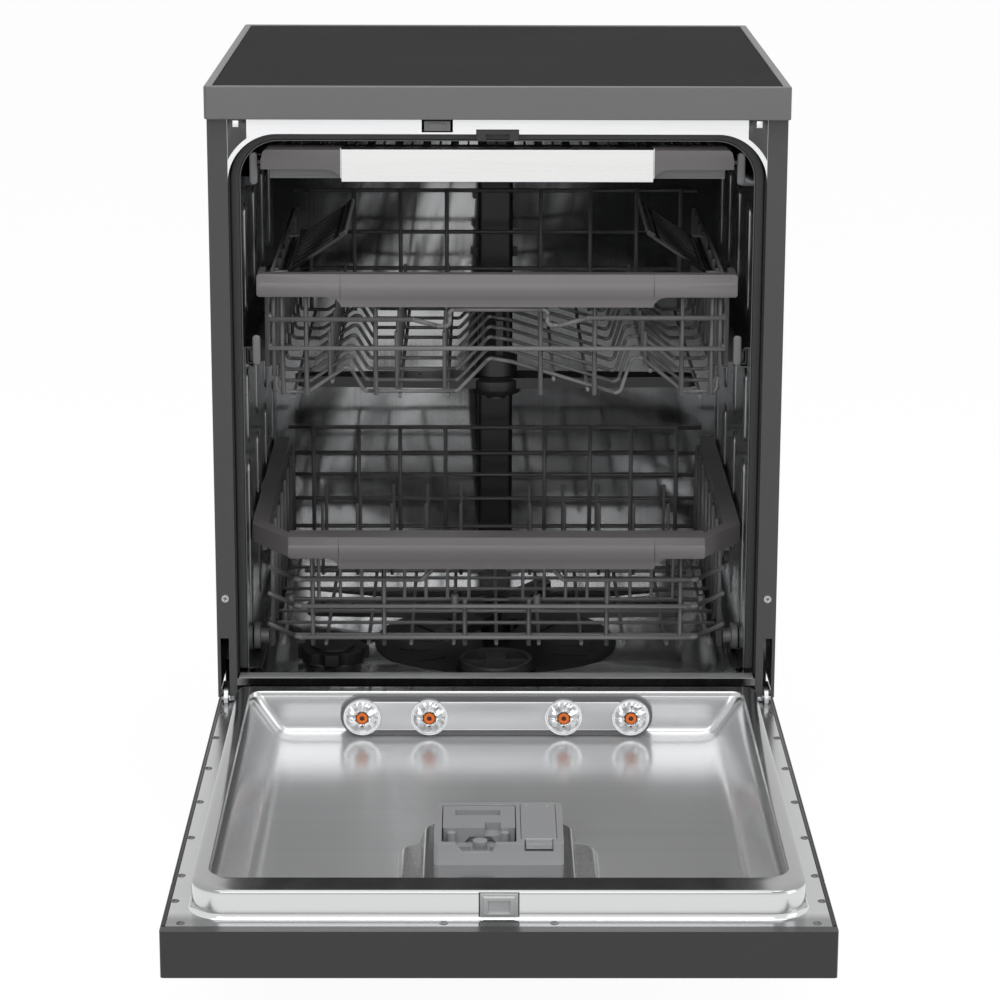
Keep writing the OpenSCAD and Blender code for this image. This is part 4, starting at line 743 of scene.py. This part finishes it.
nozzle_y, nozzle_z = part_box("steam_nozzles")[0][1] + 0.0050, 0.187
port_drop, port_size = 0.0088, (0.0062, 0.0010, 0.0022)
nozzle_parts = (
    ("ring", [(0.0200, -0.0064), (0.0200, 0.0006), (0.0197, 0.0012), (0.0189, 0.0014),
              (0.0181, 0.0012), (0.0178, 0.0006)], 64, ring_silver, 0),
    ("facets", [(0.0177, -0.0010), (0.0176, 0.0002), (0.0135, 0.0020), (0.0098, 0.0026),
                (0.0078, 0.0036), (0.0066, 0.0038)], 32, facet_silver, 8),
    ("collar", [(0.0067, 0.0), (0.0067, 0.0042), (0.0063, 0.0045), (0.0060, 0.0042)],
     40, dark_collar_and_bore_shade, 0),
    ("core", [(0.0059, 0.0), (0.0059, 0.0043), (0.0055, 0.0048), (0.0034, 0.0049),
              (0.0029, 0.0043)], 40, orange, 0),
    # The bore is a dark disc set into the core: painted shade for the hole.
    ("bore", [(0.0027, 0.0036), (0.0027, 0.0042), (0.0022, 0.0045)], 32, dark_collar_and_bore_shade, 0))
for number, nozzle_x in enumerate((-0.142, -0.071, 0.071, 0.142)):
    nozzle = {}
    for word, profile, sides, material, facets in nozzle_parts:
        nozzle[word] = turned("nozzle_%s_%d" % (word, number), profile, sides,
                              (nozzle_x, nozzle_y, nozzle_z), material, facets)
    # The port is a dark plate standing out from the bar: painted shade for the opening.
    port = sharp_box((nozzle_x, nozzle_y - 0.0030, nozzle_z - port_drop), port_size,
                     "nozzle_port_%d" % number)
    round_edges(port, width=0.0003)
    port.data.materials.append(dark_collar_and_bore_shade)
    nozzle["port"] = port
    for word, piece in nozzle.items():
        only(piece)
        bpy.ops.object.shade_smooth_by_angle(angle=radians(4 if word == "facets" else 40))
        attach(piece, "door")
    if not number:
        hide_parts("steam_nozzles")

# ---------------------------------------------------------------------------------
# Strike plate and dispenser: grey mouldings clipped into the liner
# A thin black frame round the strike stands in for the shadow gap round it: painted shade.
# The detergent lid has catch posts and a fluted knob, and the rinse-aid lid a finger notch.
pale_moulding = made_of("dispenser_plastic", (0.315, 0.318, 0.325), (0.345, 0.348, 0.355),
                        rough=(0.34, 0.44), scale=800, relief=0.12, depth=0.0001)
strike_steel = made_of("strike_steel", (0.42, 0.425, 0.43), (0.47, 0.475, 0.48), rough=(0.42, 0.50),
                       scale=90, relief=0.05, Metallic=0.3)
finished("strike_plate", strike_steel, bevel=0.0010)
for node in ("dispenser_body", "detergent_lid", "rinse_aid_lid"):
    finished(node, pale_moulding, bevel=0.0006)

strike_low, strike_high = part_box("strike_plate")
strike_x, strike_z = ((strike_low[i] + strike_high[i]) / 2 for i in (0, 2))
outline_size, outline_opening = (0.0362, 0.0008, 0.0242), (0.0316, 0.0100, 0.0200)
# Painted shade: a black frame where the gap round the strike plate lies in shadow.
strike_shadow_outline = sharp_box((strike_x, strike_high[1] - 0.0002, strike_z), outline_size, "strike_shadow_outline")
cut_with(strike_shadow_outline, sharp_box((strike_x, strike_high[1], strike_z), outline_opening))
round_edges(strike_shadow_outline, width=0.0002)
strike_shadow_outline.data.materials.append(black_moulding)
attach(strike_shadow_outline, "door")

knob_x, knob_y, knob_z = -0.017, -0.4015, 0.1953
knob_radius, knob_height, flutes, flute_depth = 0.0068, 0.0060, 24, 0.045
knob = round_bar((knob_x, knob_y, knob_z), knob_radius, knob_height, 72, "dispenser_knob",
                 turn=(0, 0, 0))
for vertex in knob.data.vertices:
    dx, dy = vertex.co.x - knob_x, vertex.co.y - knob_y
    wave = 1 + flute_depth * cos(atan2(dy, dx) * flutes)
    vertex.co.x, vertex.co.y = knob_x + dx * wave, knob_y + dy * wave
round_edges(knob, width=0.0005, angle=60)
knob.data.materials.append(pale_moulding)
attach(knob, "detergent_flap")

# ---------------------------------------------------------------------------------
# Cutlery tray: a grey slotted basket with a satin aluminium handle
# The handle's two ends are warm grey mouldings that the bar is pushed into.
finished("cutlery_tray", grey_moulding, bevel=0.0003)
satin = made_of("satin_aluminium", (0.755, 0.755, 0.75), (0.775, 0.775, 0.77), rough=(0.26, 0.30),
                scale=90, stretch=(0.1, 10, 10), relief=0.008, depth=0.0001, Metallic=1.0)


def joint_lines(handle, node, joint_x, height, width, depth):
    """A thin groove on each side, where the handle's bar meets its moulded end."""
    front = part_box(node)[0][1]
    for side in (-1, 1):
        cut_with(handle, sharp_box((side * joint_x, front, height), (width, depth, 0.05)))


bar_end = 0.162
cutlery_handle = finished("cutlery_handle", satin, bevel=0.0008)
cutlery_handle.data.materials.append(grip)
only(cutlery_handle)
bpy.ops.object.mode_set(mode="EDIT")
for side in (-1, 1):
    bpy.ops.mesh.select_all(action="SELECT")
    bpy.ops.mesh.bisect(plane_co=(side * bar_end, 0, 0), plane_no=(1, 0, 0))
bpy.ops.object.mode_set(mode="OBJECT")
for face in cutlery_handle.data.polygons:
    face.material_index = 1 if abs(face.center.x) > bar_end + 0.0001 else 0
joint_lines(cutlery_handle, "cutlery_handle", joint_x=0.1628, height=0.763, width=0.0009,
            depth=0.0050)

# ---------------------------------------------------------------------------------
# Upper rack: nylon-coated wire, a moulded handle and two folding cup shelves
# The telescopic runners are chromed steel.
nylon = made_of("nylon_coated_wire", (0.142, 0.139, 0.142), (0.176, 0.172, 0.175),
                rough=(0.34, 0.46), scale=500, relief=0.2, depth=0.0001)
black_gloss = made_of("black_gloss_plastic", (0.008, 0.008, 0.009), (0.014, 0.014, 0.015),
                      rough=(0.12, 0.20), scale=500, relief=0.05, depth=0.0001)
chromed = made_of("chromed_runner", (0.60, 0.61, 0.62), (0.68, 0.69, 0.70), rough=(0.10, 0.18),
                  scale=80, relief=0.03, Metallic=1.0)
for node in ("upper_rack_walls", "upper_rack_floor"):
    finished(node, nylon)
upper_handle = finished("upper_rack_handle", grip, bevel=0.001)
joint_lines(upper_handle, "upper_rack_handle", joint_x=0.1645, height=0.630, width=0.0008,
            depth=0.0044)
for node in ("left_cup_shelf", "right_cup_shelf"):
    finished(node, black_gloss, bevel=0.0005)
finished("upper_runners", chromed, bevel=0.0003)

# ---------------------------------------------------------------------------------
# Lower rack: the same coated wire, two folding rows of tines and a handle round it
# Four wheels run on the tub's ledges and the door's rim.
# The lower handle's grip is the upper handle's plastic in a darker copy: painted shade.
grip_lower_shaded = made_of("grip_plastic_lower_painted_shade", (0.122, 0.113, 0.116), (0.140, 0.131, 0.134),
                   rough=(0.36, 0.44), scale=900, relief=0.10, depth=0.0001)
for node in ("lower_rack_walls", "lower_rack_floor", "left_plate_tines", "right_plate_tines"):
    finished(node, nylon)
lower_handle = finished("lower_rack_handle", grip_lower_shaded, bevel=0.001)
joint_lines(lower_handle, "lower_rack_handle", joint_x=0.1685, height=0.349, width=0.0008,
            depth=0.0044)
for node in ("front_wheels", "rear_wheels"):
    finished(node, grey_moulding, bevel=0.0005)
